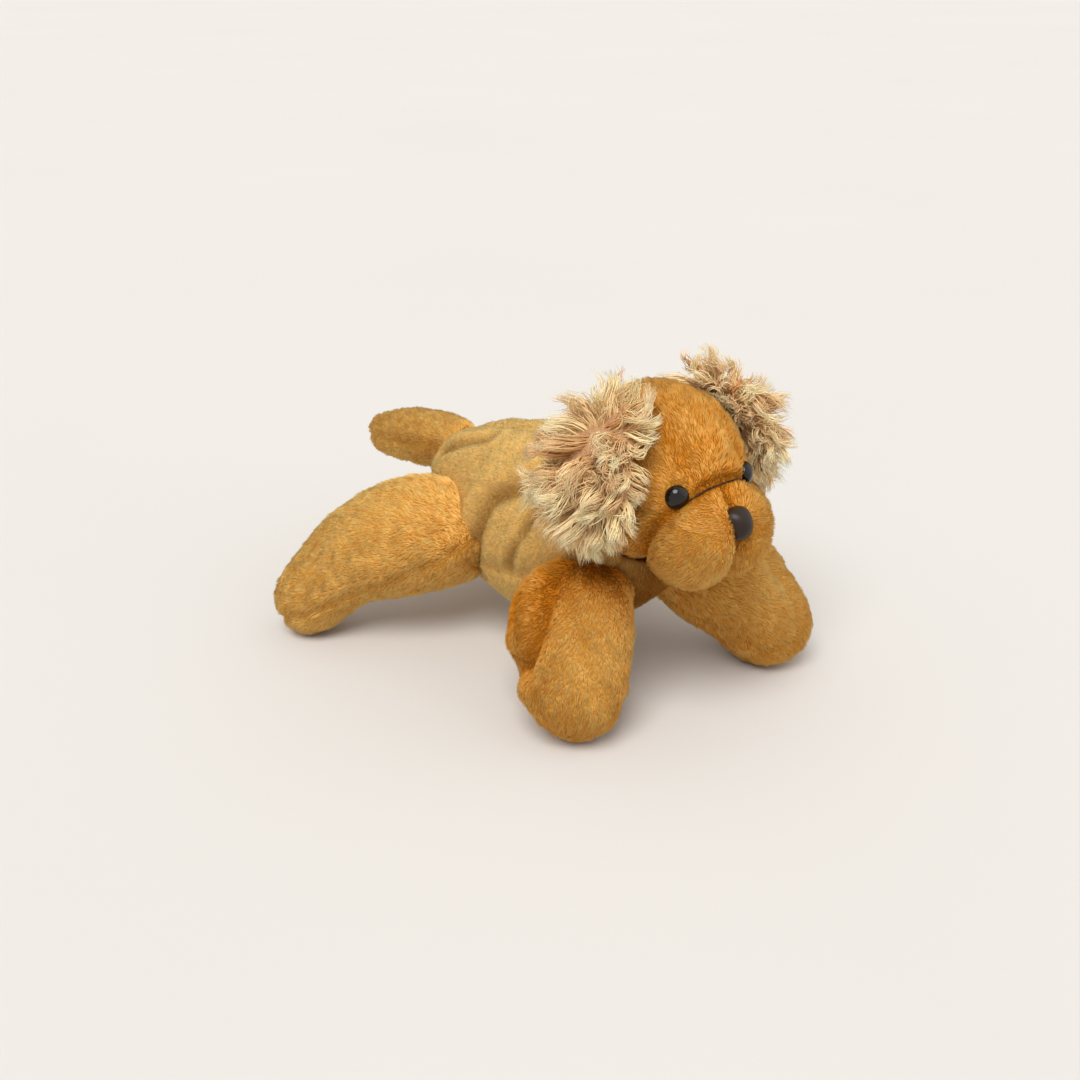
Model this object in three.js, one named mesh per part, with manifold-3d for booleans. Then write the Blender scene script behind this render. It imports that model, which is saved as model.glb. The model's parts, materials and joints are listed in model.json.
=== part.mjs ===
// A stuffed puppy: sewn plush panels over fibre filling, with shanked plastic eyes and nose.
// Millimetres, +Z up. The toy faces -Y, its left is +X, and its paws stand on z = 0.
import * as THREE from "three";
import { mergeVertices } from "three/addons/utils/BufferGeometryUtils.js";
import Module from "manifold-3d";

const wasm = await Module();
wasm.setup();

// Cloth and seams
const SKIN = 2.5; // plush cloth with its pile pressed flat
const SEAM = 0.3; // between sewn edges, and between cloth and filling
const ROOT_GAP = 0.4; // round the root of a limb, where it turns
const SWING_GAP = 3; // round what swings past another piece
const SOLE_CUT = 0.5; // how far each paw is pressed flat by the floor

// Torso
const TORSO_LENGTH = 150;
const TORSO_WIDTH = 72;
const TORSO_HEIGHT = 80;
const BELLY_HEIGHT = 15; // under the belly, above the floor
const RUMP_WIDTH = 60;
const RUMP_HEIGHT = 66;
const CHEST_WIDTH = 60;
const CHEST_HEIGHT = 54;
const CHEST_RISE = 11; // the middle of the chest above the middle of the belly
const BELLY_SEAM_DROP = 12; // the belly panel's seam below the middle of the belly
const BELLY_SEAM_TILT = 12; // degrees, that seam climbs to the throat
const THROAT_SEAM = 14; // the belly panel takes all of the chest this far ahead of the shoulders

// Head and neck
const HEAD_WIDTH = 66;
const HEAD_LENGTH = 70;
const HEAD_HEIGHT = 74;
const HEAD_SETBACK = 14; // the head's centre behind the front end of the torso
const HEAD_RISE = 42; // the head's centre above the middle of the belly
const NECK_TILT = 38; // degrees, the neck leans forwards
const NECK_PAD = 5;
const NECK_SPAN = 15; // degrees, the neck pad's rim seen from the head's centre
const HEAD_TURN = 20; // degrees each way
const HEAD_NOD = 12; // degrees each way
const CROWN_WIDTH = 27; // the gusset over the top of the head
const CROWN_DROP = 6; // the gusset's end at the back, below the head's centre

// Muzzle: two padded lobes that meet at the mouth seam
const LOBE_WIDTH = 38;
const LOBE_LENGTH = 43;
const LOBE_HEIGHT = 43;
const LOBE_SPREAD = 18; // between the lobes' centres
const LOBE_REACH = 26; // the lobes' centres in front of the head's centre
const LOBE_DROP = 16; // and below it
const BRIDGE_WIDTH = 33; // the padding between the eyes and the nose, that fills the dip between the lobes
const BRIDGE_LENGTH = 34;
const BRIDGE_HEIGHT = 34;
const BRIDGE_REACH = 27; // its centre in front of the head's centre
const BRIDGE_DROP = 9; // and below it
const BRIDGE_SEAM_RISE = 9; // the seam across the bridge of the nose, above the head's centre
const BRIDGE_SEAM_LEAN = 33; // degrees, that seam runs down and back to the throat

// Eyes and nose on their shanks
const EYE_WIDTH = 9.5;
const EYE_BULGE = 3.8;
const EYE_RIM = 0.4; // the straight edge under the dome
const EYE_SPREAD = 38;
const EYE_RISE = 3; // above the head's centre
const NOSE_WIDTH = 13;
const NOSE_HEIGHT = 13;
const NOSE_BULGE = 4.6;
const NOSE_TAPER = 0.28; // how much broader the top is than the middle, as a share
const NOSE_RISE = 9.5; // above the lobes' centres
const NOSE_TILT = 28; // degrees, the nose looks up
const SEATING = 1.8; // how deep eyes and nose press into the pile
const SHANK_WIDTH = 4;
const SHANK_LENGTH = 11;
const SHANK_FIT = 0.15; // between a shank and its washer, all round
const WASHER_WIDTH = 12;
const WASHER_THICKNESS = 1.5;
const NOSE_WASHER_DEPTH = 5; // behind the nose's seat, past the cloth that dips between the lobes

// Ears
const EAR_ROOT = 4.5; // radius of the sewn roll that the ear hangs on
const EAR_ROOT_ANGLE = 50; // degrees above the middle of the head's side
const EAR_SETBACK = -3; // behind the head's centre
const EAR_HANG = 40; // from the root down to the middle of the ear's rounded end
const EAR_SHOULDER = 10; // how far the ear stands out from its root a third of the way down
const EAR_SPLAY = 14.5; // and from there to its end
const EAR_ROOT_WIDTH = 28;
const EAR_UPPER_WIDTH = 44;
const EAR_WIDTH = 48;
const EAR_TIP_WIDTH = 37;
const EAR_THICKNESS = 14;
const EAR_TIP_THICKNESS = 11;
const EAR_LINING = 4;
const EAR_LIFT = 70; // degrees, from hanging

// Forelegs
const SHOULDER_BACK = 27; // behind the front end of the torso
const SHOULDER_ANGLE = 42; // degrees below the middle of the chest's side
const FORELEG_ROOT = 18; // radii along the leg
const FORELEG_UPPER = 25;
const FORELEG_SHANK = 22.5;
const FORELEG_PAW = 21;
const FORELEG_REACH = { right: 31, left: 41 }; // along the floor, from shoulder to paw
const FORELEG_AHEAD = { right: 40, left: 43 }; // degrees, the leg points forwards of sideways
const ELBOW_BOW = 3; // how far the elbow stands up out of the line from shoulder to paw
const ELBOW_BACK = 4.5; // and how far behind it
const SEAM_LEAN = 0.5; // the seam along the leg leans up by this slope from its front

// Hind legs
const HIP_BACK = 108; // behind the front end of the torso
const HIP_ANGLE = 14; // degrees below the middle of the rump's side
const HINDLEG_ROOT = 23;
const HINDLEG_THIGH = 25.5;
const HINDLEG_SHANK = 20;
const HINDLEG_PAW = 17;
const HINDLEG_REACH = { right: 64, left: 64 };
const HINDLEG_BEHIND = { right: 37, left: 37 }; // degrees, the leg points backwards of sideways
const KNEE_BOW = 8.5; // how far the knee stands up from the line from hip to paw

// Tail
const TAIL_ROOT = 11;
const TAIL_MIDDLE = 13.5;
const TAIL_TIP = 10;
const TAIL_LENGTH = 66; // from its pivot to the middle of the rounded tip
const TAIL_DROP = 14; // the tip below the pivot
const TAIL_BACK = 140; // the pivot behind the front end of the torso
const TAIL_ANGLE = 46; // degrees, where the pivot sits on the rump, up from level

// Swing at the seams, degrees each way
const LEG_SWING = 20;
const TAIL_SWING = 30;
const SEAT_LIP = 6; // how much further a seat opens than its limb swings
const SEAT_MOUTH = 1.5; // how far a seat is cut outwards from its pivot, in radii

// Facets
const TORSO_SIDES = 18;
const HEAD_SIDES = 16;
const LIMB_SIDES = 12;
const EAR_SIDES = 10;
const INNER_SIDES = 8; // the inside of the cloth, and the filling
const SEAT_SIDES = 16;
const ROOM_SIDES = 10; // the room cut for what swings past
const TRIM_SIDES = 12;

const FAR = 600; // a cutting block, larger than the toy
const THIRD = 1 / 3; // a padded form has its two middle stations a third of the way from its ends
const UP = new THREE.Vector3(0, 0, 1);
const RIGHT = -1;
const LEFT = 1;
const SIDE_NAMES = { [RIGHT]: "right", [LEFT]: "left" };

const rad = THREE.MathUtils.degToRad;
const vec = (x, y, z) => new THREE.Vector3(x, y, z);

// Solids

// A closed geometry as a solid that can be joined and cut.
function solid(geometry) {
  const bare = geometry.clone();
  bare.deleteAttribute("normal");
  bare.deleteAttribute("uv");
  const merged = mergeVertices(bare, 1e-4);
  const corners = merged.index.array;
  const triVerts = [];
  for (let i = 0; i < corners.length; i += 3) {
    const [a, b, c] = corners.subarray(i, i + 3);
    if (a !== b && b !== c && a !== c) triVerts.push(a, b, c);
  }
  const vertProperties = merged.attributes.position.array;
  return new wasm.Manifold(
    new wasm.Mesh({ numProp: 3, vertProperties, triVerts: Uint32Array.from(triVerts) }),
  );
}

// A smooth padded bag: rings along a curve through the stations, with a rounded end on each side.
// A station is { at, wide, high }, and an end's cap is as long as it is round unless it gives a length.
// grow moves the whole surface outwards, or inwards if negative. A span between stations has perSpan rings.
function padded(stations, { sides, perSpan = 2, up = UP, grow = 0 }) {
  const spine = new THREE.CatmullRomCurve3(stations.map((s) => s.at));
  const girth = new THREE.CatmullRomCurve3(stations.map((s) => vec(s.wide, s.high, 0)));
  const spans = (stations.length - 1) * perSpan;
  const capRings = perSpan + 1;
  const rings = [];
  const addRing = (t, along, scale) => {
    const tangent = spine.getTangent(t);
    const across = up.clone().cross(tangent).normalize();
    const above = tangent.clone().cross(across);
    const size = girth.getPoint(t);
    const centre = spine.getPoint(t).addScaledVector(tangent, along);
    rings.push({ centre, across, above, wide: (size.x + grow) * scale, high: (size.y + grow) * scale });
  };
  const capLength = ({ wide, high, cap = (wide + high) / 2 }) => cap + grow;
  const [rootCap, tipCap] = [capLength(stations[0]), capLength(stations[stations.length - 1])];
  for (let k = 0; k < capRings; k += 1) {
    const turn = (k / capRings) * (Math.PI / 2);
    addRing(0, -rootCap * Math.cos(turn), Math.sin(turn));
  }
  for (let k = 0; k <= spans; k += 1) addRing(k / spans, 0, 1);
  for (let k = capRings - 1; k >= 0; k -= 1) {
    const turn = (k / capRings) * (Math.PI / 2);
    addRing(1, tipCap * Math.cos(turn), Math.sin(turn));
  }
  const positions = [];
  for (const ring of rings) {
    for (let j = 0; j < sides; j += 1) {
      const turn = (j / sides) * Math.PI * 2;
      const point = ring.centre
        .clone()
        .addScaledVector(ring.across, ring.wide * Math.cos(turn))
        .addScaledVector(ring.above, ring.high * Math.sin(turn));
      positions.push(point.x, point.y, point.z);
    }
  }
  const index = [];
  for (let i = 0; i < rings.length - 1; i += 1) {
    for (let j = 0; j < sides; j += 1) {
      const next = (j + 1) % sides;
      const [a, b] = [i * sides + j, i * sides + next];
      const [c, d] = [b + sides, a + sides];
      index.push(a, b, c, a, c, d);
    }
  }
  const geometry = new THREE.BufferGeometry();
  geometry.setAttribute("position", new THREE.Float32BufferAttribute(positions, 3));
  geometry.setIndex(index);
  return solid(geometry);
}

// A padded bag's cloth, and the filling inside it.
function clothAndFilling(stations, sides) {
  const inside = (grow) => padded(stations, { sides: INNER_SIDES, perSpan: 1, grow });
  return {
    cloth: padded(stations, { sides }).subtract(inside(-SKIN)),
    filling: inside(-SKIN - SEAM),
  };
}

function ellipsoid(centre, radii, sides, grow = 0) {
  const geometry = new THREE.SphereGeometry(1, sides, Math.round(sides * 0.6));
  geometry.rotateX(Math.PI / 2);
  geometry.scale(radii.x + grow, radii.y + grow, radii.z + grow);
  geometry.translate(centre.x, centre.y, centre.z);
  return solid(geometry);
}

// A turned solid: profile points are [radius, height] and height runs from base along axis.
function turned(profile, base, axis, sides) {
  const geometry = new THREE.LatheGeometry(
    profile.map(([radius, height]) => new THREE.Vector2(radius, height)),
    sides,
  );
  geometry.applyQuaternion(new THREE.Quaternion().setFromUnitVectors(vec(0, 1, 0), axis));
  geometry.translate(base.x, base.y, base.z);
  return solid(geometry);
}

// All of space on the side of a plane that its normal points to.
function halfSpace(point, normal) {
  const geometry = new THREE.BoxGeometry(FAR, FAR, FAR);
  geometry.translate(0, 0, FAR / 2);
  geometry.applyQuaternion(new THREE.Quaternion().setFromUnitVectors(UP, normal));
  geometry.translate(point.x, point.y, point.z);
  return solid(geometry);
}

// The two parts of a skin on either side of a seam plane, a seam apart.
function splitAtSeam(skin, point, normal) {
  const back = normal.clone().negate();
  return [
    skin.intersect(halfSpace(point.clone().addScaledVector(normal, SEAM / 2), normal)),
    skin.intersect(halfSpace(point.clone().addScaledVector(back, SEAM / 2), back)),
  ];
}

const joined = (solids) => solids.reduce((sum, next) => sum.add(next));

// Materials
const plush = (color) => new THREE.MeshStandardMaterial({ color, roughness: 0.95, metalness: 0 });
const GOLDEN_PLUSH = plush(0xc89650);
const PALE_PLUSH = plush(0xd9b26e);
const SHAGGY_PILE = plush(0xd8b088);
const EAR_LINING_PLUSH = plush(0xa66f3f);
const FIBRE_FILLING = plush(0xf2efe8);
const EYE_PLASTIC = new THREE.MeshStandardMaterial({ color: 0x17100c, roughness: 0.12, metalness: 0 });
const NOSE_PLASTIC = new THREE.MeshStandardMaterial({ color: 0x4c3b29, roughness: 0.35, metalness: 0 });
const WASHER_PLASTIC = new THREE.MeshStandardMaterial({ color: 0xe9e6de, roughness: 0.5, metalness: 0 });

function piece(group, name, body, material) {
  const { vertProperties, triVerts } = body.getMesh();
  const geometry = new THREE.BufferGeometry();
  geometry.setAttribute("position", new THREE.BufferAttribute(vertProperties, 3));
  geometry.setIndex(new THREE.BufferAttribute(triVerts, 1));
  geometry.computeVertexNormals();
  const mesh = new THREE.Mesh(geometry, material);
  mesh.name = name;
  group.add(mesh);
}

// Where things sit
const FRONT = -TORSO_LENGTH / 2;
const REAR = TORSO_LENGTH / 2;
const BELLY_AXIS = BELLY_HEIGHT + TORSO_HEIGHT / 2;
const HEAD_CENTRE = vec(0, FRONT + HEAD_SETBACK, BELLY_AXIS + HEAD_RISE);
const HEAD_RADII = vec(HEAD_WIDTH / 2, HEAD_LENGTH / 2, HEAD_HEIGHT / 2);
const HEAD_BALL = Math.max(HEAD_RADII.x, HEAD_RADII.y, HEAD_RADII.z);
const LOBE_RADII = vec(LOBE_WIDTH / 2, LOBE_LENGTH / 2, LOBE_HEIGHT / 2);
const BRIDGE_CENTRE = HEAD_CENTRE.clone().add(vec(0, -BRIDGE_REACH, -BRIDGE_DROP));
const BRIDGE_RADII = vec(BRIDGE_WIDTH / 2, BRIDGE_LENGTH / 2, BRIDGE_HEIGHT / 2);
const lobeCentre = (side) =>
  HEAD_CENTRE.clone().add(vec((side * LOBE_SPREAD) / 2, -LOBE_REACH, -LOBE_DROP));

// Torso stations, from the rump to the chest; the rounded ends take up the rest of the length.
const torsoStations = (() => {
  const rumpCap = (RUMP_WIDTH + RUMP_HEIGHT) / 4;
  const chestCap = (CHEST_WIDTH + CHEST_HEIGHT) / 4;
  const rump = REAR - rumpCap;
  const chest = FRONT + chestCap;
  const at = (share, lift) => vec(0, THREE.MathUtils.lerp(rump, chest, share), BELLY_AXIS + lift);
  return [
    { at: at(0, 0), wide: RUMP_WIDTH / 2, high: RUMP_HEIGHT / 2 },
    { at: at(THIRD, 0), wide: TORSO_WIDTH / 2, high: TORSO_HEIGHT / 2 },
    { at: at(2 * THIRD, 0), wide: TORSO_WIDTH / 2, high: TORSO_HEIGHT / 2 },
    { at: at(1, CHEST_RISE), wide: CHEST_WIDTH / 2, high: CHEST_HEIGHT / 2 },
  ];
})();
const torsoSolids = clothAndFilling(torsoStations, TORSO_SIDES);

// A point on the torso's surface: a distance behind the front end, and an angle up from its side.
function onTorso(back, degrees, side) {
  const y = FRONT + back;
  const spine = new THREE.CatmullRomCurve3(torsoStations.map((s) => s.at));
  const girth = new THREE.CatmullRomCurve3(torsoStations.map((s) => vec(s.wide, s.high, 0)));
  const first = torsoStations[0].at.y;
  const last = torsoStations[torsoStations.length - 1].at.y;
  let t = THREE.MathUtils.clamp((first - y) / (first - last), 0, 1);
  for (let k = 0; k < 8; k += 1) {
    t = THREE.MathUtils.clamp(t + (spine.getPoint(t).y - y) / (first - last), 0, 1);
  }
  const size = girth.getPoint(t);
  const centre = spine.getPoint(t);
  const past = Math.abs(y - centre.y) / ((size.x + size.y) / 2);
  const round = Math.sqrt(Math.max(0, 1 - past * past));
  const turn = rad(degrees);
  return vec(
    side * size.x * round * Math.cos(turn),
    y,
    centre.z + size.y * round * Math.sin(turn),
  );
}

// Limbs: a root that turns in a round seat in the torso, and a tip.

// The seat that a round root turns in: a bowl that opens out by the swing on both sides.
function seat(pivot, towards, radius, swing) {
  const bowl = (radius + ROOT_GAP) / Math.cos(Math.PI / SEAT_SIDES);
  const lip = rad(swing + SEAT_LIP);
  const profile = [];
  const steps = 5;
  for (let k = 0; k <= steps; k += 1) {
    const turn = -Math.PI / 2 + (k / steps) * (Math.PI / 2 - lip);
    profile.push([bowl * Math.cos(turn), bowl * Math.sin(turn)]);
  }
  profile[0][0] = 0;
  const mouth = bowl * SEAT_MOUTH;
  const rise = mouth + bowl * Math.sin(lip);
  profile.push([bowl * Math.cos(lip) + rise * Math.tan(lip), mouth], [0, mouth]);
  return turned(profile, pivot, towards, SEAT_SIDES);
}

// The room that a limb needs in the torso: its seat, and its middle anywhere in its swing.
function limbRoom(limb, swing) {
  const [root, upper, lower] = limb.stations;
  const towards = upper.at.clone().sub(limb.pivot).normalize();
  const parts = [seat(limb.pivot, towards, root.wide, swing)];
  for (const { at, wide } of [upper, lower]) {
    const radius = (wide + SWING_GAP) / Math.cos(Math.PI / ROOM_SIDES);
    for (const way of [-1, 0, 1]) {
      const swung = at.clone().sub(limb.pivot).applyAxisAngle(UP, rad(swing * way)).add(limb.pivot);
      parts.push(ellipsoid(swung, vec(radius, radius, radius), ROOM_SIDES));
    }
  }
  return joined(parts);
}

const ball = (at, radius) => ({ at, wide: radius, high: radius });

// A leg's stations from its pivot to the middle of its paw, which is pressed flat on the floor.
// heading is the level direction of the leg; bow lifts its middle out of a straight line, and back
// moves it backwards.
function legStations(pivot, heading, reach, radii, bow, back = 0) {
  const paw = radii[radii.length - 1];
  const standing = (height) => legStationsAt(height, pivot, heading, reach, radii, bow, back);
  const lowest = padded(standing(paw), { sides: LIMB_SIDES }).boundingBox().min[2];
  return standing(paw - lowest - SOLE_CUT);
}

function legStationsAt(pawHeight, pivot, heading, reach, radii, bow, back) {
  const [root, upper, shank, paw] = radii;
  const foot = pivot.clone().addScaledVector(heading, reach);
  foot.z = pawHeight;
  const out = foot.clone().sub(pivot).normalize();
  const lift = out.clone().cross(heading).normalize().cross(out).normalize();
  if (lift.z < 0) lift.negate();
  const rearwards = UP.clone().cross(heading).normalize();
  if (rearwards.y < 0) rearwards.negate();
  const part = (share) =>
    pivot.clone().lerp(foot, share).addScaledVector(lift, bow).addScaledVector(rearwards, back);
  return [ball(pivot, root), ball(part(THIRD), upper), ball(part(2 * THIRD), shank), ball(foot, paw)];
}

const level = (side, degrees, forwards) =>
  vec(side * Math.cos(rad(degrees)), forwards * -Math.sin(rad(degrees)), 0);

const forelegs = [RIGHT, LEFT].map((side) => {
  const name = SIDE_NAMES[side];
  const pivot = onTorso(SHOULDER_BACK, -SHOULDER_ANGLE, side);
  const heading = level(side, FORELEG_AHEAD[name], 1);
  const radii = [FORELEG_ROOT, FORELEG_UPPER, FORELEG_SHANK, FORELEG_PAW];
  const stations = legStations(pivot, heading, FORELEG_REACH[name], radii, ELBOW_BOW, ELBOW_BACK);
  const forwards = heading.clone().cross(UP).multiplyScalar(side);
  const seamNormal = forwards.addScaledVector(UP, SEAM_LEAN).normalize();
  return { name: `foreleg_${name}`, panels: ["inner", "outer"], pivot, stations, seamNormal };
});

const hindlegs = [RIGHT, LEFT].map((side) => {
  const name = SIDE_NAMES[side];
  const pivot = onTorso(HIP_BACK, -HIP_ANGLE, side);
  const heading = level(side, HINDLEG_BEHIND[name], -1);
  const radii = [HINDLEG_ROOT, HINDLEG_THIGH, HINDLEG_SHANK, HINDLEG_PAW];
  const stations = legStations(pivot, heading, HINDLEG_REACH[name], radii, KNEE_BOW);
  const along = stations[3].at.clone().sub(pivot).normalize();
  const seamNormal = along.clone().cross(UP.clone().cross(along)).normalize();
  return { name: `hindleg_${name}`, panels: ["upper", "lower"], pivot, stations, seamNormal };
});

const tailPivot = onTorso(TAIL_BACK, TAIL_ANGLE, 0);
const tailPart = (share) => tailPivot.clone().add(vec(0, TAIL_LENGTH * share, -TAIL_DROP * share));
const tailStations = [
  ball(tailPivot, TAIL_ROOT),
  ball(tailPart(THIRD), TAIL_MIDDLE),
  ball(tailPart(2 * THIRD), TAIL_MIDDLE),
  ball(tailPart(1), TAIL_TIP),
];

// Head
const headForm = (sides, grow) =>
  joined([
    ellipsoid(HEAD_CENTRE, HEAD_RADII, sides, grow),
    ellipsoid(lobeCentre(RIGHT), LOBE_RADII, sides, grow),
    ellipsoid(lobeCentre(LEFT), LOBE_RADII, sides, grow),
    ellipsoid(BRIDGE_CENTRE, BRIDGE_RADII, sides, grow),
  ]);

const neckAxis = vec(0, -Math.sin(rad(NECK_TILT)), Math.cos(rad(NECK_TILT)));
const acrossHead = vec(1, 0, 0);

// The pad of filling between head and torso: a dish that fits the round underside of the head.
function neckPad(grow) {
  const [low, high] = [HEAD_BALL + SEAM - grow, HEAD_BALL + SEAM + NECK_PAD + grow];
  const rim = rad(NECK_SPAN) + grow / high;
  const steps = 4;
  const profile = [];
  for (let k = 0; k <= steps; k += 1) {
    const turn = (k / steps) * rim;
    profile.push([high * Math.sin(turn), -high * Math.cos(turn)]);
  }
  for (let k = steps; k >= 0; k -= 1) {
    const turn = (k / steps) * rim;
    profile.push([low * Math.sin(turn), -low * Math.cos(turn)]);
  }
  return turned(profile, HEAD_CENTRE, neckAxis, SEAT_SIDES);
}

// The room that the head needs to turn and nod in: a ball round the skull, whose flat facets all stay
// clear of it, and the muzzle's sweep with the nose down. moved puts each part of it in place.
function turningRoom(moved = (point) => point) {
  const radius = (HEAD_BALL + ROOT_GAP) / Math.cos(Math.PI / SEAT_SIDES) ** 2;
  const parts = [ellipsoid(moved(HEAD_CENTRE.clone()), vec(radius, radius, radius), SEAT_SIDES)];
  for (const turn of [-1, 0, 1]) {
    for (const side of [RIGHT, LEFT]) {
      const centre = lobeCentre(side).sub(HEAD_CENTRE);
      centre.applyAxisAngle(acrossHead, rad(HEAD_NOD));
      centre.applyAxisAngle(neckAxis, rad(HEAD_TURN * turn)).add(HEAD_CENTRE);
      parts.push(ellipsoid(moved(centre), LOBE_RADII, ROOM_SIDES, SWING_GAP));
    }
  }
  return joined(parts);
}

// The same room as a limb meets it anywhere in its swing about an upright axis.
function turningRoomFrom(pivot, swing) {
  const moves = [-1, 0, 1].map((way) => (point) => {
    return point.sub(pivot).applyAxisAngle(UP, rad(swing * way)).add(pivot);
  });
  return joined(moves.map((move) => turningRoom(move)));
}

// Eyes and nose

const shankProfile = (grow) => [
  [0, -SHANK_LENGTH - grow],
  [SHANK_WIDTH / 2 + grow, -SHANK_LENGTH - grow],
  [SHANK_WIDTH / 2 + grow, EYE_RIM],
  [0, EYE_RIM],
];

function eyeSolid(seatAt, axis, grow) {
  const [radius, bulge] = [EYE_WIDTH / 2 + grow, EYE_BULGE + grow];
  const profile = [
    [0, -grow],
    [radius, -grow],
  ];
  const steps = 4;
  for (let k = 0; k <= steps; k += 1) {
    const turn = (k / steps) * (Math.PI / 2);
    profile.push([radius * Math.cos(turn), EYE_RIM + (bulge - EYE_RIM) * Math.sin(turn)]);
  }
  profile[profile.length - 1][0] = 0;
  const dome = turned(profile, seatAt, axis, TRIM_SIDES);
  return dome.add(turned(shankProfile(grow), seatAt, axis, TRIM_SIDES));
}

// A rounded triangle, broad above and narrow below, domed in front and flat behind.
function noseSolid(seatAt, axis, grow) {
  const geometry = new THREE.SphereGeometry(1, TRIM_SIDES, 12);
  const points = geometry.attributes.position;
  for (let i = 0; i < points.count; i += 1) {
    const [x, y, z] = [points.getX(i), points.getY(i), points.getZ(i)];
    const taper = 1 + NOSE_TAPER * y;
    points.setXYZ(
      i,
      x * taper * (NOSE_WIDTH / 2 + grow),
      y * (NOSE_HEIGHT / 2 + grow),
      z > 0 ? z * (NOSE_BULGE + grow) : z * (SEATING + grow),
    );
  }
  geometry.applyQuaternion(new THREE.Quaternion().setFromUnitVectors(UP, axis));
  geometry.translate(seatAt.x, seatAt.y, seatAt.z);
  return solid(geometry).add(turned(shankProfile(grow), seatAt, axis, TRIM_SIDES));
}

function washerSolid(seatAt, axis, depth, grow) {
  const hole = SHANK_WIDTH / 2 + SHANK_FIT;
  const outer = WASHER_WIDTH / 2 + grow;
  const [low, high] = [-depth - WASHER_THICKNESS - grow, -depth + grow];
  const profile = [
    [0, low],
    [outer, low],
    [outer, high],
    [0, high],
  ];
  const disc = turned(profile, seatAt, axis, TRIM_SIDES);
  if (grow > 0) return disc;
  const bore = [
    [0, low - 1],
    [hole, low - 1],
    [hole, high + 1],
    [0, high + 1],
  ];
  return disc.subtract(turned(bore, seatAt, axis, TRIM_SIDES));
}

// The hollow in the filling round a shank and its washer.
function pocketSolid(seatAt, axis) {
  const [wide, deep] = [WASHER_WIDTH / 2 + SEAM, SHANK_LENGTH + SEAM];
  const profile = [
    [0, -deep],
    [wide, -deep],
    [wide, EYE_BULGE],
    [0, EYE_BULGE],
  ];
  return turned(profile, seatAt, axis, TRIM_SIDES);
}

function eyeSeat(side) {
  const [x, z] = [(side * EYE_SPREAD) / 2, EYE_RISE];
  const y = -HEAD_RADII.y * Math.sqrt(1 - (x / HEAD_RADII.x) ** 2 - (z / HEAD_RADII.z) ** 2);
  const axis = vec(x / HEAD_RADII.x ** 2, y / HEAD_RADII.y ** 2, z / HEAD_RADII.z ** 2).normalize();
  const at = HEAD_CENTRE.clone().add(vec(x, y, z)).addScaledVector(axis, -SEATING);
  return { at, axis };
}

const noseSeat = (() => {
  const axis = vec(0, -Math.cos(rad(NOSE_TILT)), Math.sin(rad(NOSE_TILT)));
  const x = NOSE_WIDTH / 4 - LOBE_SPREAD / 2;
  const inside = 1 - (x / LOBE_RADII.x) ** 2 - (NOSE_RISE / LOBE_RADII.z) ** 2;
  const y = -LOBE_RADII.y * Math.sqrt(inside);
  const at = vec(0, HEAD_CENTRE.y - LOBE_REACH + y, HEAD_CENTRE.z - LOBE_DROP + NOSE_RISE);
  return { at: at.addScaledVector(axis, -SEATING), axis };
})();
const eyeWasherDepth = SKIN - SEATING + 3 * SEAM;

// Ears

// The middle of the sewn roll that an ear hangs on, just clear of the head's side.
function earRoot(side) {
  const turn = rad(EAR_ROOT_ANGLE);
  const normal = vec(Math.cos(turn) / HEAD_RADII.x, 0, Math.sin(turn) / HEAD_RADII.z).normalize();
  const root = vec(HEAD_RADII.x * Math.cos(turn), EAR_SETBACK, HEAD_RADII.z * Math.sin(turn));
  root.addScaledVector(normal, EAR_ROOT + ROOT_GAP);
  root.x *= side;
  return root.add(HEAD_CENTRE);
}

// A flap that hangs from that roll, broad below it; shift moves it away from the head.
function earForm(side, shift, grow) {
  const root = earRoot(side);
  const place = (out, down) => root.clone().add(vec(side * (out + shift), 0, -down));
  const stations = [
    { at: place(0, 0), wide: EAR_ROOT_WIDTH / 2, high: EAR_ROOT, cap: EAR_ROOT },
    { at: place(EAR_SHOULDER, EAR_HANG * THIRD), wide: EAR_UPPER_WIDTH / 2, high: EAR_THICKNESS / 2 },
    { at: place(EAR_SPLAY, EAR_HANG * 2 * THIRD), wide: EAR_WIDTH / 2, high: EAR_THICKNESS / 2 },
    { at: place(EAR_SPLAY, EAR_HANG), wide: EAR_TIP_WIDTH / 2, high: EAR_TIP_THICKNESS / 2 },
  ];
  return padded(stations, { sides: EAR_SIDES, up: acrossHead, grow });
}

// Assembly
const toy = new THREE.Group();
const floorRoom = halfSpace(vec(0, 0, 0), UP);

function addLimb(limb, swing) {
  const group = new THREE.Group();
  const { cloth, filling } = clothAndFilling(limb.stations, LIMB_SIDES);
  const room = turningRoomFrom(limb.pivot, swing);
  const skin = cloth.intersect(floorRoom).subtract(room);
  const [first, second] = splitAtSeam(skin, limb.pivot, limb.seamNormal);
  piece(group, `${limb.name}_${limb.panels[0]}_panel`, first, GOLDEN_PLUSH);
  piece(group, `${limb.name}_${limb.panels[1]}_panel`, second, GOLDEN_PLUSH);
  piece(group, `${limb.name}_filling`, filling.subtract(room), FIBRE_FILLING);
  toy.add(group);
  return limbRoom(limb, swing);
}

const limbRooms = [];
for (const limb of [...forelegs, ...hindlegs]) {
  limbRooms.push(addLimb(limb, LEG_SWING));
}
const tail = { name: "tail", panels: ["top", "under"], pivot: tailPivot, stations: tailStations };
tail.seamNormal = vec(0, TAIL_DROP, TAIL_LENGTH).normalize();
limbRooms.push(addLimb(tail, TAIL_SWING));

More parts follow.
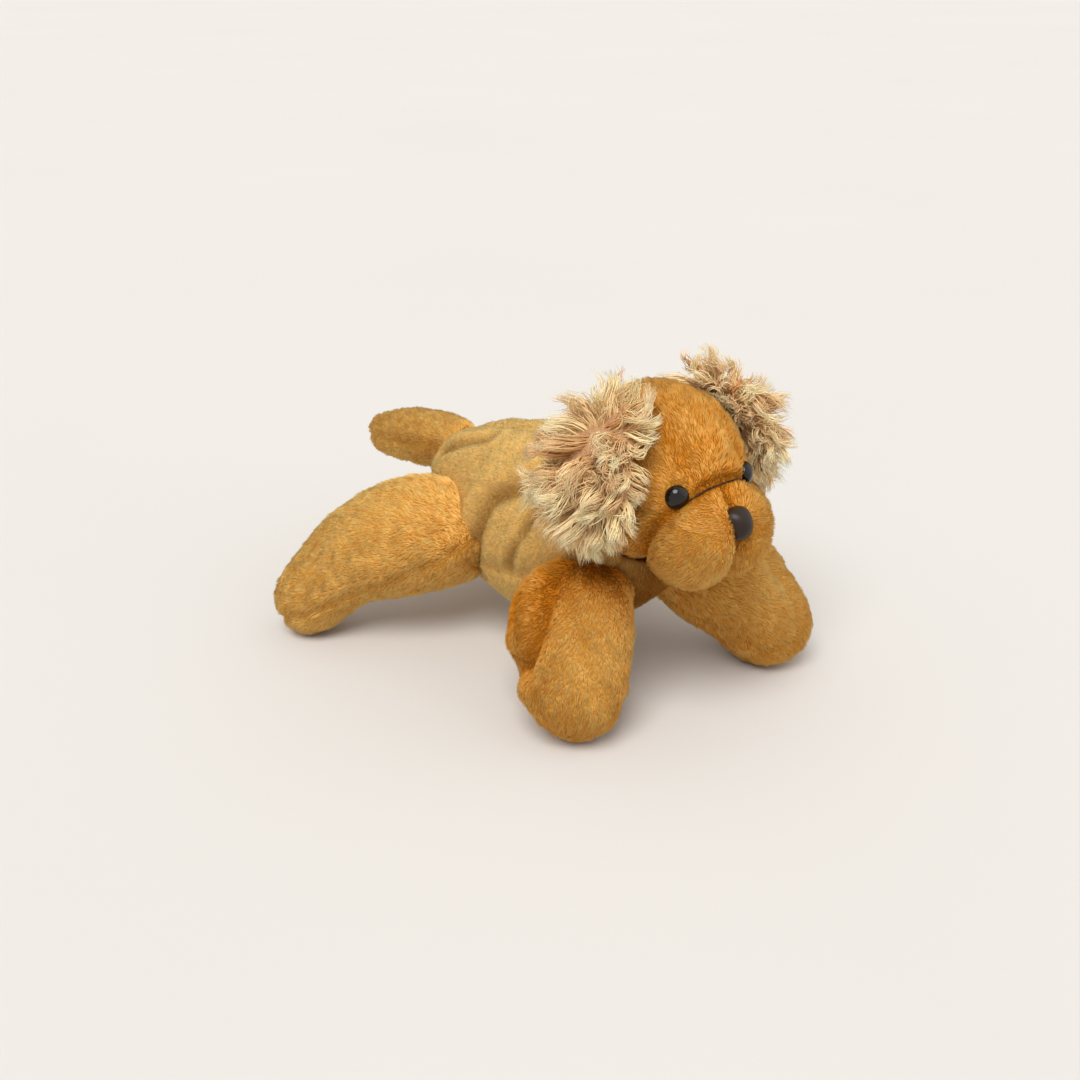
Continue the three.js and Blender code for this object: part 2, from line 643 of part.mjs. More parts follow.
const torso = new THREE.Group();
const torsoRoom = joined([...limbRooms, turningRoom(), neckPad(ROOT_GAP)]);
const torsoSkin = torsoSolids.cloth.subtract(torsoRoom);
const bellySeam = vec(0, 0, BELLY_AXIS - BELLY_SEAM_DROP);
const bellyNormal = UP.clone().applyAxisAngle(acrossHead, -rad(BELLY_SEAM_TILT)).negate();
function bellyRoom(grow) {
  const below = halfSpace(bellySeam.clone().addScaledVector(bellyNormal, -grow), bellyNormal);
  const throat = vec(0, FRONT + SHOULDER_BACK - THROAT_SEAM + grow, 0);
  return below.add(halfSpace(throat, vec(0, -1, 0)));
}
const flanks = torsoSkin.subtract(bellyRoom(SEAM));
const [leftFlank, rightFlank] = splitAtSeam(flanks, vec(0, 0, 0), acrossHead);
piece(torso, "torso_right_panel", rightFlank, PALE_PLUSH);
piece(torso, "torso_left_panel", leftFlank, PALE_PLUSH);
piece(torso, "torso_belly_panel", torsoSkin.intersect(bellyRoom(0)), PALE_PLUSH);
piece(torso, "torso_filling", torsoSolids.filling.subtract(torsoRoom), FIBRE_FILLING);
toy.add(torso);

const neck = new THREE.Group();
piece(neck, "neck_pad", neckPad(0), FIBRE_FILLING);
toy.add(neck);

const head = new THREE.Group();
const trim = [];
const trimRoom = [];
const washerRoom = [];
const pockets = [];
for (const side of [RIGHT, LEFT]) {
  const name = SIDE_NAMES[side];
  const { at, axis } = eyeSeat(side);
  trim.push([`eye_${name}`, eyeSolid(at, axis, 0), EYE_PLASTIC]);
  trim.push([`eye_washer_${name}`, washerSolid(at, axis, eyeWasherDepth, 0), WASHER_PLASTIC]);
  trimRoom.push(eyeSolid(at, axis, SEAM));
  washerRoom.push(washerSolid(at, axis, eyeWasherDepth, SEAM));
  pockets.push(pocketSolid(at, axis));
}
trim.push(["nose", noseSolid(noseSeat.at, noseSeat.axis, 0), NOSE_PLASTIC]);
trim.push(["nose_washer", washerSolid(noseSeat.at, noseSeat.axis, NOSE_WASHER_DEPTH, 0), WASHER_PLASTIC]);
trimRoom.push(noseSolid(noseSeat.at, noseSeat.axis, SEAM));
washerRoom.push(washerSolid(noseSeat.at, noseSeat.axis, NOSE_WASHER_DEPTH, SEAM));
pockets.push(pocketSolid(noseSeat.at, noseSeat.axis));
const fittingRoom = joined([...trimRoom, ...washerRoom]);
const pocketRoom = joined(pockets);

const headSkin = headForm(HEAD_SIDES, 0).subtract(headForm(INNER_SIDES, -SKIN)).subtract(fittingRoom);
const bridge = HEAD_CENTRE.clone().add(vec(0, -HEAD_RADII.y, BRIDGE_SEAM_RISE));
const muzzleWay = vec(0, -Math.cos(rad(BRIDGE_SEAM_LEAN)), -Math.sin(rad(BRIDGE_SEAM_LEAN)));
const [muzzle, skull] = splitAtSeam(headSkin, bridge, muzzleWay);
const [leftLobe, rightLobe] = splitAtSeam(muzzle, HEAD_CENTRE, acrossHead);

function crownRoom(grow) {
  const wide = CROWN_WIDTH + 2 * grow;
  const geometry = new THREE.BoxGeometry(wide, FAR, FAR);
  const low = HEAD_CENTRE.z - CROWN_DROP - grow;
  geometry.translate(0, 0, low + FAR / 2);
  return solid(geometry);
}
const [leftCheek, rightCheek] = splitAtSeam(skull.subtract(crownRoom(SEAM)), HEAD_CENTRE, acrossHead);
piece(head, "head_crown_panel", skull.intersect(crownRoom(0)), GOLDEN_PLUSH);
piece(head, "head_right_panel", rightCheek, GOLDEN_PLUSH);
piece(head, "head_left_panel", leftCheek, GOLDEN_PLUSH);
piece(head, "muzzle_right_panel", rightLobe, GOLDEN_PLUSH);
piece(head, "muzzle_left_panel", leftLobe, GOLDEN_PLUSH);
piece(head, "head_filling", headForm(INNER_SIDES, -SKIN - SEAM).subtract(pocketRoom), FIBRE_FILLING);
for (const [name, body, material] of trim) piece(head, name, body, material);
toy.add(head);

for (const side of [RIGHT, LEFT]) {
  const name = SIDE_NAMES[side];
  const group = new THREE.Group();
  const flap = earForm(side, 0, 0).subtract(headForm(HEAD_SIDES, ROOT_GAP));
  const pile = flap.intersect(earForm(side, EAR_LINING, 0));
  const lining = flap.subtract(earForm(side, EAR_LINING, SEAM));
  piece(group, `ear_${name}_pile`, pile, SHAGGY_PILE);
  piece(group, `ear_${name}_lining`, lining, EAR_LINING_PLUSH);
  toy.add(group);
}

// The toy's frame has its origin on the floor, under the middle of its box.
const box = new THREE.Box3().setFromObject(toy);
toy.position.set(-(box.min.x + box.max.x) / 2, -(box.min.y + box.max.y) / 2, 0);

// Where the toy bends: the pivot and axis of each seam, in the toy's frame, with its range in degrees.
const bend = (name, pivot, axis, range) => ({ name, pivot: pivot.clone().add(toy.position), axis, range });
toy.userData.bends = [
  bend("head_turn", HEAD_CENTRE, neckAxis, [-HEAD_TURN, HEAD_TURN]),
  bend("head_nod", HEAD_CENTRE, acrossHead, [-HEAD_NOD, HEAD_NOD]),
  ...[RIGHT, LEFT].map((side) =>
    bend(`ear_${SIDE_NAMES[side]}_lift`, earRoot(side), vec(0, -side, 0), [0, EAR_LIFT]),
  ),
  ...[...forelegs, ...hindlegs].map((leg) =>
    bend(`${leg.name}_swing`, leg.pivot, UP, [-LEG_SWING, LEG_SWING]),
  ),
  bend("tail_wag", tailPivot, UP, [-TAIL_SWING, TAIL_SWING]),
];

export default toy;
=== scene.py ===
"""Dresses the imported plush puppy: stuffed forms under pile, shaggy drop ears, plastic eyes and nose."""

import json
import logging
import math
from collections.abc import Iterable
from dataclasses import dataclass, field
from enum import Enum

import bmesh
import bpy
import numpy as np
from mathutils import Matrix, Vector
from mathutils.bvhtree import BVHTree
from mathutils.kdtree import KDTree


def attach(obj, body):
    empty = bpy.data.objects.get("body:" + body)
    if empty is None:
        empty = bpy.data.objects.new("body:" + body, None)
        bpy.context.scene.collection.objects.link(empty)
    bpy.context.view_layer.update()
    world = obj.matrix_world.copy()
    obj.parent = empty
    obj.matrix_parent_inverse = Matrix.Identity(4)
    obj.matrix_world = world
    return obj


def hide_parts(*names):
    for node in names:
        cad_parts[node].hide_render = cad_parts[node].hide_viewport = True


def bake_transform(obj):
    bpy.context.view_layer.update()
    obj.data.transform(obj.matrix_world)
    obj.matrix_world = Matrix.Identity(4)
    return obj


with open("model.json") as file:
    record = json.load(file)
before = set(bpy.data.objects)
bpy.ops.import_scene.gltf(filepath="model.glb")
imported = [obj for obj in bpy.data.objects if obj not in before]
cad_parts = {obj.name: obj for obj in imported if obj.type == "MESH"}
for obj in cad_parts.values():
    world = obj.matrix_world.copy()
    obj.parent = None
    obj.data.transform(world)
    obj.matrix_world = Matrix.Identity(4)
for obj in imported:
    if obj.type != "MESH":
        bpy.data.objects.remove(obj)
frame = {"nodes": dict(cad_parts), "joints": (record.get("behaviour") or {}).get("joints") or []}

LOG = logging.getLogger("plush_puppy")
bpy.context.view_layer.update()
MM = 0.001
CM2 = 0.0001
TINY = 1e-9
WELD = 0.01 * MM

Colour = tuple[float, float, float, float]


class Side(Enum):
    """The toy's own right (towards -X) and left (towards +X)."""

    RIGHT = "right"
    LEFT = "left"

    @property
    def sign(self) -> int:
        """The side's direction along X."""
        return -1 if self is Side.RIGHT else 1


def linear(hex_colour: str) -> Colour:
    """Turn an sRGB hex colour into the linear RGBA that a shader socket takes.

    Args:
        hex_colour: Six hex digits, with or without a leading #.

    Returns:
        Linear red, green, blue and an alpha of 1.
    """
    digits = hex_colour.lstrip("#")
    parts = [int(digits[i : i + 2], 16) / 255 for i in (0, 2, 4)]
    red, green, blue = (
        c / 12.92 if c <= 0.04045 else ((c + 0.055) / 1.055) ** 2.4 for c in parts
    )
    return red, green, blue, 1.0


def add_node(
    tree: bpy.types.NodeTree, kind: str, inputs: dict | None = None, **settings
) -> bpy.types.Node:
    """Add one node with its settings and links.

    Args:
        tree: The node tree it goes into.
        kind: The node's type, such as ShaderNodeTexNoise.
        inputs: A value, or another node's output to link, by socket name or number.
        settings: The node's own properties.

    Returns:
        The new node.
    """
    node = tree.nodes.new(kind)
    for key, value in settings.items():
        setattr(node, key, value)
    for socket, value in (inputs or {}).items():
        if isinstance(value, bpy.types.NodeSocket):
            tree.links.new(value, node.inputs[socket])
        else:
            node.inputs[socket].default_value = value
    return node


def new_material(name: str) -> tuple[bpy.types.Material, bpy.types.NodeTree]:
    """Start a material with an empty node tree.

    Args:
        name: The material's name.

    Returns:
        The material and its node tree.
    """
    material = bpy.data.materials.new(name)
    material.use_nodes = True
    material.node_tree.nodes.clear()
    return material, material.node_tree


def noise(tree: bpy.types.NodeTree, size: float, **inputs: float) -> bpy.types.NodeSocket:
    """Add noise over an object.

    Args:
        tree: The material's node tree.
        size: The size of its flecks, in metres.
        inputs: The noise node's further inputs, by name.

    Returns:
        The noise, from 0 to 1.
    """
    place = add_node(tree, "ShaderNodeTexCoord").outputs["Object"]
    flecks = add_node(tree, "ShaderNodeTexNoise", {"Vector": place, "Scale": 1 / size, **inputs})
    return flecks.outputs["Fac"]


def mixed(
    tree: bpy.types.NodeTree,
    share: bpy.types.NodeSocket,
    first: Colour | bpy.types.NodeSocket,
    second: Colour | bpy.types.NodeSocket,
) -> bpy.types.NodeSocket:
    """Mix two colours.

    Args:
        tree: The material's node tree.
        share: 0 for the first colour, 1 for the second.
        first: One colour.
        second: The other colour.

    Returns:
        The mixed colour.
    """
    mix = add_node(tree, "ShaderNodeMix", {0: share, 6: first, 7: second}, data_type="RGBA")
    return mix.outputs[2]


def bumped(
    tree: bpy.types.NodeTree, height: bpy.types.NodeSocket, strength: float, depth: float
) -> bpy.types.NodeSocket:
    """Turn heights into a bumped normal.

    Args:
        tree: The material's node tree.
        height: The heights, from 0 to 1.
        strength: How much of the relief shows.
        depth: The relief's depth, in metres.

    Returns:
        The normal.
    """
    inputs = {"Height": height, "Strength": strength, "Distance": depth}
    return add_node(tree, "ShaderNodeBump", inputs).outputs["Normal"]


def surfaced(tree: bpy.types.NodeTree, inputs: dict) -> None:
    """End a material's node tree in one principled surface.

    Args:
        tree: The material's node tree.
        inputs: The surface's values and links, by socket name.
    """
    shader = add_node(tree, "ShaderNodeBsdfPrincipled", inputs)
    add_node(tree, "ShaderNodeOutputMaterial", {"Surface": shader.outputs["BSDF"]})


def smooth_step(value: np.ndarray, low: float, high: float) -> np.ndarray:
    """Ease from 0 at low to 1 at high.

    Args:
        value: The numbers to ease.
        low: Where the result is 0.
        high: Where the result is 1.

    Returns:
        One number from 0 to 1 for each value.
    """
    t = np.clip((value - low) / (high - low), 0, 1)
    return t * t * (3 - 2 * t)


def unit(vectors: np.ndarray) -> np.ndarray:
    """Scale each row to length 1."""
    return vectors / np.maximum(np.linalg.norm(vectors, axis=1, keepdims=True), TINY)


def node_points(*names: str) -> np.ndarray:
    """Read the corners of some CAD nodes.

    Args:
        names: The nodes' names.

    Returns:
        One row per corner, in metres.
    """
    rows = []
    for name in names:
        node = frame["nodes"][name]
        rows += [node.matrix_world @ v.co for v in node.data.vertices]
    return np.array(rows)


def node_tree(name: str) -> BVHTree:
    """Make a CAD node's triangles searchable.

    Args:
        name: The node's name.

    Returns:
        The search tree.
    """
    mesh = frame["nodes"][name].data
    return BVHTree.FromPolygons(
        [v.co for v in mesh.vertices], [tuple(p.vertices) for p in mesh.polygons]
    )


def pivot_of(body: str) -> np.ndarray:
    """Find the point that a body turns about, in metres."""
    return next(np.array(j["pos_m"]) for j in frame["joints"] if j["child"] == body)


def new_piece(
    name: str, mesh: bpy.types.Mesh, material: bpy.types.Material | None = None
) -> bpy.types.Object:
    """Put a mesh into the scene as a smooth-shaded piece at the origin.

    Args:
        name: The piece's name.
        mesh: Its mesh.
        material: Its material, if it has none of its own yet.

    Returns:
        The new object.
    """
    mesh.name = name
    if material is not None:
        mesh.materials.clear()
        mesh.materials.append(material)
    mesh.shade_smooth()
    piece = bpy.data.objects.new(name, mesh)
    bpy.context.scene.collection.objects.link(piece)
    return piece


def log_faces(piece: bpy.types.Object) -> None:
    """Log how many faces a finished piece has."""
    LOG.info("%s: %d faces", piece.name, len(piece.data.polygons))


def mesh_from(bm: bmesh.types.BMesh, name: str) -> bpy.types.Mesh:
    """Turn a bmesh into a mesh and free it.

    Args:
        bm: The bmesh.
        name: The mesh's name.

    Returns:
        The mesh.
    """
    mesh = bpy.data.meshes.new(name)
    bm.to_mesh(mesh)
    bm.free()
    return mesh


def settled(piece: bpy.types.Object) -> bpy.types.Mesh:
    """Copy a piece's mesh with its modifiers applied."""
    graph = bpy.context.evaluated_depsgraph_get()
    return bpy.data.meshes.new_from_object(piece.evaluated_get(graph))


def swap_mesh(piece: bpy.types.Object, mesh: bpy.types.Mesh) -> None:
    """Give a piece a new mesh, without modifiers, and drop the old one.

    Args:
        piece: The piece.
        mesh: Its new mesh.
    """
    old = piece.data
    piece.modifiers.clear()
    piece.data = mesh
    bpy.data.meshes.remove(old)
    mesh.name = piece.name
    mesh.shade_smooth()


def corners(mesh: bpy.types.Mesh) -> np.ndarray:
    """Read a mesh's corners.

    Args:
        mesh: The mesh.

    Returns:
        One row of metres per corner.
    """
    flat = np.empty(len(mesh.vertices) * 3)
    mesh.vertices.foreach_get("co", flat)
    return flat.reshape(-1, 3)


def corner_normals(mesh: bpy.types.Mesh) -> np.ndarray:
    """Read a mesh's corner normals.

    Args:
        mesh: The mesh.

    Returns:
        One unit row per corner.
    """
    flat = np.empty(len(mesh.vertices) * 3)
    mesh.vertex_normals.foreach_get("vector", flat)
    return flat.reshape(-1, 3)


def move_corners(mesh: bpy.types.Mesh, points: np.ndarray) -> None:
    """Write a mesh's corners back.

    Args:
        mesh: The mesh.
        points: One row of metres per corner.
    """
    mesh.vertices.foreach_set("co", np.ascontiguousarray(points).ravel())
    mesh.update()


class Ripple:
    """Smooth seeded noise over space, from about -1 to 1, with bumps of about one size."""

    SPREAD = (0.6, 1.4)
    PEAK = 1.6

    def __init__(self, size: float, seed: int, waves: int = 16) -> None:
        """Choose the waves.

        Args:
            size: The distance from bump to bump, in metres.
            seed: Fixes the pattern.
            waves: How many plane waves make it up.
        """
        rng = np.random.default_rng(seed)
        ways = unit(rng.normal(size=(waves, 3)))
        self.waves = ways * (2 * math.pi / size * rng.uniform(*self.SPREAD, (waves, 1)))
        self.phases = rng.uniform(0, 2 * math.pi, waves)

    def at(self, points: np.ndarray) -> np.ndarray:
        """Read the noise at each point."""
        waves = np.sin(points @ self.waves.T + self.phases).sum(axis=1)
        return np.clip(waves / math.sqrt(len(self.phases)), -self.PEAK, self.PEAK)


@dataclass(frozen=True)
class PlushBacking:
    """Knitted polyester backing between the roots of the pile: matt, streaked by the nap, and darker than the
    pile as painted shade between the strands.
    """

    ATTRIBUTE = "nap_tone"

    name: str
    deep: str
    bright: str
    contrast: float = 0.3
    relief: float = 0.4
    streak: float = 2.4 * MM
    knit_depth: float = 0.6 * MM
    roughness: float = 0.92
    gloss: float = 0.1

    def material(self) -> bpy.types.Material:
        """Build the material: flecks as large as the pile's, about the tone of the nap there, and as relief.

        Returns:
            The new material.
        """
        material, tree = new_material(self.name)
        flecks = noise(tree, self.streak, Detail=5.0, Roughness=0.65, Distortion=0.6)
        nap = add_node(tree, "ShaderNodeAttribute", attribute_name=self.ATTRIBUTE)
        fleck = add_node(
            tree, "ShaderNodeMath", {0: flecks, 1: self.contrast, 2: -self.contrast / 2},
            operation="MULTIPLY_ADD",
        )
        level = add_node(
            tree, "ShaderNodeMath", {0: nap.outputs["Fac"], 1: fleck.outputs[0]},
            operation="ADD", use_clamp=True,
        )
        surfaced(tree, {
            "Base Color": mixed(tree, level.outputs[0], linear(self.deep), linear(self.bright)),
            "Normal": bumped(tree, flecks, self.relief, self.knit_depth),
            "Roughness": self.roughness,
            "Specular IOR Level": self.gloss,
        })
        return material


@dataclass(frozen=True)
class PileFibre:
    """Polyester pile fibre: a satin strand, deep at its root, paler at its tip, uneven from tuft to tuft."""

    name: str
    deep_root: str
    deep_tip: str
    bright_root: str
    bright_tip: str
    roughness: float = 0.7
    gloss: float = 0.03

    def material(self) -> bpy.types.Material:
        """Build the material from the strands' own attribute: X is the tuft's tone, Y runs from root to tip.

        Returns:
            The new material.
        """
        material, tree = new_material(self.name)
        strand = add_node(tree, "ShaderNodeAttribute", attribute_name=Pile.ATTRIBUTE)
        parts = add_node(tree, "ShaderNodeSeparateXYZ", {0: strand.outputs["Vector"]}).outputs
        deep, bright = (
            mixed(tree, parts["Y"], linear(root), linear(tip))
            for root, tip in ((self.deep_root, self.deep_tip), (self.bright_root, self.bright_tip))
        )
        surfaced(tree, {
            "Base Color": mixed(tree, parts["X"], deep, bright),
            "Roughness": self.roughness,
            "Specular IOR Level": self.gloss,
        })
        return material


@dataclass(frozen=True)
class MouldedPlastic:
    """Moulded plastic: an even colour with a faint flow mottle and a skin as smooth as its mould."""

    name: str
    colour: str
    mottle: str
    roughness: float
    grain: float
    coat: float = 0.0
    coat_roughness: float = 0.04
    flow_size: float = 4 * MM
    grain_size: float = 0.7 * MM
    grain_depth: float = 0.05 * MM
    refraction: float = 1.49
    gloss: float = 0.32

    def material(self) -> bpy.types.Material:
        """Build the material: a faint mottle in the colour and a low grain in the relief.

        Returns:
            The new material.
        """
        material, tree = new_material(self.name)
        flow = noise(tree, self.flow_size, Detail=3.0)
        skin = noise(tree, self.grain_size, Detail=2.0)
        surfaced(tree, {
            "Base Color": mixed(tree, flow, linear(self.colour), linear(self.mottle)),
            "Normal": bumped(tree, skin, self.grain, self.grain_depth),
            "Roughness": self.roughness,
            "IOR": self.refraction,
            "Specular IOR Level": self.gloss,
            "Coat Weight": self.coat,
            "Coat Roughness": self.coat_roughness,
        })
        return material


@dataclass(frozen=True)
class SewingThread:
    """Spun polyester thread pulled into the pile: dark, matt, with the twist of its plies.

    A wave texture at scale 1 draws about BANDS slanting bands to the metre.
    """

    BANDS = 3

    name: str
    colour: str
    ply: str
    twist: float = 1.2 * MM
    ply_relief: float = 0.5
    ply_depth: float = 0.1 * MM
    roughness: float = 0.85

    def material(self) -> bpy.types.Material:
        """Build the material: slanting bands as wide as the plies, drawn coarse enough to show.

        Returns:
            The new material.
        """
        material, tree = new_material(self.name)
        place = add_node(tree, "ShaderNodeTexCoord").outputs["Object"]
        inputs = {"Vector": place, "Scale": 1 / (self.BANDS * self.twist), "Distortion": 1.5}
        wave = add_node(tree, "ShaderNodeTexWave", inputs, bands_direction="DIAGONAL")
        bands = wave.outputs["Fac"]
        surfaced(tree, {
            "Base Color": mixed(tree, bands, linear(self.colour), linear(self.ply)),
            "Normal": bumped(tree, bands, self.ply_relief, self.ply_depth),
            "Roughness": self.roughness,
        })
        return material


@dataclass(frozen=True)
class Nap:
    """How a plush is cut and brushed.

    Lengths are in metres. gather is how far the tips draw together into tufts, ruffle how far the brushing
    wanders (radians), speckle how uneven the tufts' tones are, and droop and curl how far a long strand sags
    and waves, as parts of its length. Within crown of the point it is brushed from, the pile lies all ways.
    """

    length: float
    width: float
    lean: float
    per_cm2: float
    tuft: float
    gather: float = 0.4
    ruffle: float = 0.5
    unevenness: float = 0.2
    speckle: float = 0.1
    levels: int = 1
    droop: float = 0.0
    curl: float = 0.0
    crown: float = 0.0


@dataclass
class Surface:
    """A finished skin as arrays, ready to grow pile on or to keep pile out of."""

    points: np.ndarray
    normals: np.ndarray
    triangles: np.ndarray
    tree: BVHTree

    @classmethod
    def of(cls, mesh: bpy.types.Mesh) -> "Surface":
        """Read a mesh.

        Args:
            mesh: The skin's mesh.

        Returns:
            Its surface.
        """
        mesh.calc_loop_triangles()
        flat = np.empty(len(mesh.loop_triangles) * 3, dtype=np.int32)
        mesh.loop_triangles.foreach_get("vertices", flat)
        points, triangles = corners(mesh), flat.reshape(-1, 3)
        tree = BVHTree.FromPolygons(points.tolist(), triangles.tolist())
        return cls(points, corner_normals(mesh), triangles, tree)

    @property
    def areas(self) -> np.ndarray:
        """Each triangle's area in square metres."""
        a, b, c = (self.points[self.triangles[:, i]] for i in range(3))
        return np.linalg.norm(np.cross(b - a, c - a), axis=1) / 2

    def scatter(
        self, per_m2: float, rng: np.random.Generator
    ) -> tuple[np.ndarray, np.ndarray]:
        """Spread points evenly over the skin.

        Args:
            per_m2: Points on each square metre.
            rng: The seeded generator.

        Returns:
            The triangle of each point, and its three weights there.
        """
        areas = self.areas
        count = int(per_m2 * areas.sum())
        chosen = rng.choice(len(areas), count, p=areas / areas.sum())
        u, v = rng.random(count), rng.random(count)
        folded = u + v > 1
        u[folded], v[folded] = 1 - u[folded], 1 - v[folded]
        return chosen, np.stack([1 - u - v, u, v], axis=1)

    def read(
        self, values: np.ndarray, chosen: np.ndarray, weights: np.ndarray
    ) -> np.ndarray:
        """Interpolate per-corner values at scattered points.

        Args:
            values: One number or row per corner.
            chosen: Each point's triangle.
            weights: Each point's weights.

        Returns:
            One number or row per point.
        """
        picked = values[self.triangles[chosen]]
        return np.einsum("nk,nk...->n...", weights, picked)

    def depth(self, points: np.ndarray) -> np.ndarray:
        """Measure how deep each point lies under this skin.

        Args:
            points: The points, in metres.

        Returns:
            One depth per point, negative outside.
        """
        deep = np.empty(len(points))
        for i, point in enumerate(points):
            place, normal, _, _ = self.tree.find_nearest(point)
            deep[i] = -(Vector(point) - place).dot(normal)
        return deep


@dataclass
class Pile:
    """Grows pile as real strands: one tapered three-sided spike, repeated over a skin.

    Nothing grows where the length's share is below BARE, or HIDDEN deep in another skin. The brushing
    wanders in coarse and fine waves of WANDER tufts, the fine ones counting for WANDER_FINE. A strand's rise
    varies by RISE_SWAY in waves of RISE_WAVE tufts and by RISE_JITTER for itself; at a crown it is lower by
    CROWN_LOW, and no strand lies flatter than FLATTEST radians. Tones vary by tuft, by PATCH and by strand.
    """

    ATTRIBUTE = "strand"
    BARE = 0.1
    HIDDEN = 1.0 * MM
    WANDER = (5, 1.7)
    WANDER_FINE = 0.6
    RISE_WAVE = 3
    RISE_SWAY = 0.35
    RISE_JITTER = 0.2
    CROWN_LOW = 0.55
    FLATTEST = 1.4
    ROOT_SINK = 0.1
    PATCH = 14 * MM
    PATCH_SPECKLE = 0.8
    STRAND_SPECKLE = 0.5
    WIDTHS = (0.8, 1.2)
    PACES = (3.0, 6.5)
    PHASE_JITTER = 0.5
    FLOOR = 0.2 * MM
    TONES = (0.03, 0.97)
    PALETTE_EDGE = 0.02

    nap: Nap
    fibre: bpy.types.Material
    seed: int

    def spike(self) -> tuple[np.ndarray, np.ndarray, np.ndarray]:
        """Model one strand with operators.

        Returns:
            Each corner's share of the length, its offset across the strand, and the faces.
        """
        bm = bmesh.new()
        bmesh.ops.create_cone(bm, cap_ends=False, segments=3, radius1=1, radius2=0, depth=1)
        for level in range(1, self.nap.levels):
            bmesh.ops.bisect_plane(
                bm,
                geom=bm.verts[:] + bm.edges[:] + bm.faces[:],
                plane_co=(0, 0, level / self.nap.levels - 0.5),
                plane_no=(0, 0, 1),
            )
        bmesh.ops.remove_doubles(bm, verts=bm.verts, dist=1e-5)
        bmesh.ops.triangulate(bm, faces=bm.faces)
        bm.verts.index_update()
        points = np.array([v.co for v in bm.verts])
        faces = np.array([[v.index for v in f.verts] for f in bm.faces])
        bm.free()
        along = points[:, 2] + 0.5
        across = unit(np.c_[points[:, :2], np.full(len(points), TINY)])[:, :2]
        return along, across * (1 - along**2)[:, None], faces

    def tuft_count(self, surface: Surface, strands: int) -> int:
        """Work out how many tufts the pile gathers in.

        Args:
            surface: The skin.
            strands: How many strands it has.

        Returns:
            The number of tufts, no more than one for each strand.
        """
        return max(1, min(strands, int(surface.areas.sum() / self.nap.tuft**2)))

    def brush(
        self, roots: np.ndarray, normals: np.ndarray, whorl: np.ndarray, rng: np.random.Generator
    ) -> np.ndarray:
        """Find the way that each strand points.

        Args:
            roots: Where the strands start.
            normals: The skin's normals there.
            whorl: The point that the pile is brushed away from.
            rng: The seeded generator.

        Returns:
            One direction per strand.
        """
        nap, coarse, fine = self.nap, *self.WANDER
        brushed = roots - whorl
        brushed = unit(brushed - normals * np.sum(brushed * normals, axis=1)[:, None])
        turn = nap.ruffle * (
            Ripple(coarse * nap.tuft, self.seed + 1).at(roots)
            + self.WANDER_FINE * Ripple(fine * nap.tuft, self.seed + 2).at(roots)
        )
        rise = np.full(len(roots), 90.0 - nap.lean)
        if nap.crown:
            near = 1 - smooth_step(np.linalg.norm(roots - whorl, axis=1), nap.crown / 2, nap.crown)
            turn += near * rng.uniform(-math.pi, math.pi, len(roots))
            rise *= 1 - self.CROWN_LOW * near
        aside = np.cross(normals, brushed)
        brushed = brushed * np.cos(turn)[:, None] + aside * np.sin(turn)[:, None]
        uneven = (
            1
            + self.RISE_SWAY * Ripple(self.RISE_WAVE * nap.tuft, self.seed + 3).at(roots)
            + self.RISE_JITTER * rng.normal(size=len(roots))
        )
        lean = np.radians(90 - rise * uneven).clip(0, self.FLATTEST)
        return normals * np.cos(lean)[:, None] + brushed * np.sin(lean)[:, None]

    def grow(
        self,
        name: str,
        surface: Surface,
        whorl: np.ndarray,
        length: np.ndarray,
        tone: np.ndarray,
        neighbours: Iterable[Surface] = (),
    ) -> bpy.types.Object:
        """Grow the pile of one skin.

        Args:
            name: The new piece's name.
            surface: The skin.
            whorl: The point that the pile is brushed away from.
            length: Each skin corner's share of the nap's length.
            tone: Each skin corner's tone, from 0, deep, to 1, bright.
            neighbours: Skins that hide pile inside them.

        Returns:
            The pile's object.
        """
        nap, rng = self.nap, np.random.default_rng(self.seed)
        chosen, weights = surface.scatter(nap.per_cm2 / CM2, rng)
        roots = surface.read(surface.points, chosen, weights)
        share = surface.read(length, chosen, weights)
        seen = share > self.BARE
        for other in neighbours:
            seen &= other.depth(roots) < self.HIDDEN
        chosen, weights, roots, share = (a[seen] for a in (chosen, weights, roots, share))
        normals = unit(surface.read(surface.normals, chosen, weights))
        shade = surface.read(tone, chosen, weights)

        ways = self.brush(roots, normals, whorl, rng)
        uneven = rng.uniform(1 - nap.unevenness, 1 + nap.unevenness, len(roots))
        reach = nap.length * share * uneven
        tips = roots + ways * reach[:, None]

        leaders = rng.choice(len(roots), self.tuft_count(surface, len(roots)), replace=False)
        tufts = KDTree(len(leaders))
        for i, leader in enumerate(leaders):
            tufts.insert(roots[leader], i)
        tufts.balance()
        group = np.array([tufts.find(p)[1] for p in roots])
        tips += nap.gather * (tips[leaders[group]] - tips)
        shade = shade + nap.speckle * rng.normal(size=len(leaders))[group]
        shade += self.PATCH_SPECKLE * nap.speckle * Ripple(self.PATCH, self.seed + 4).at(roots)
        shade += self.STRAND_SPECKLE * nap.speckle * rng.normal(size=len(roots))
        sunk = roots - normals * self.ROOT_SINK * nap.length
        return self.plant(name, sunk, tips, shade, reach, group, rng)

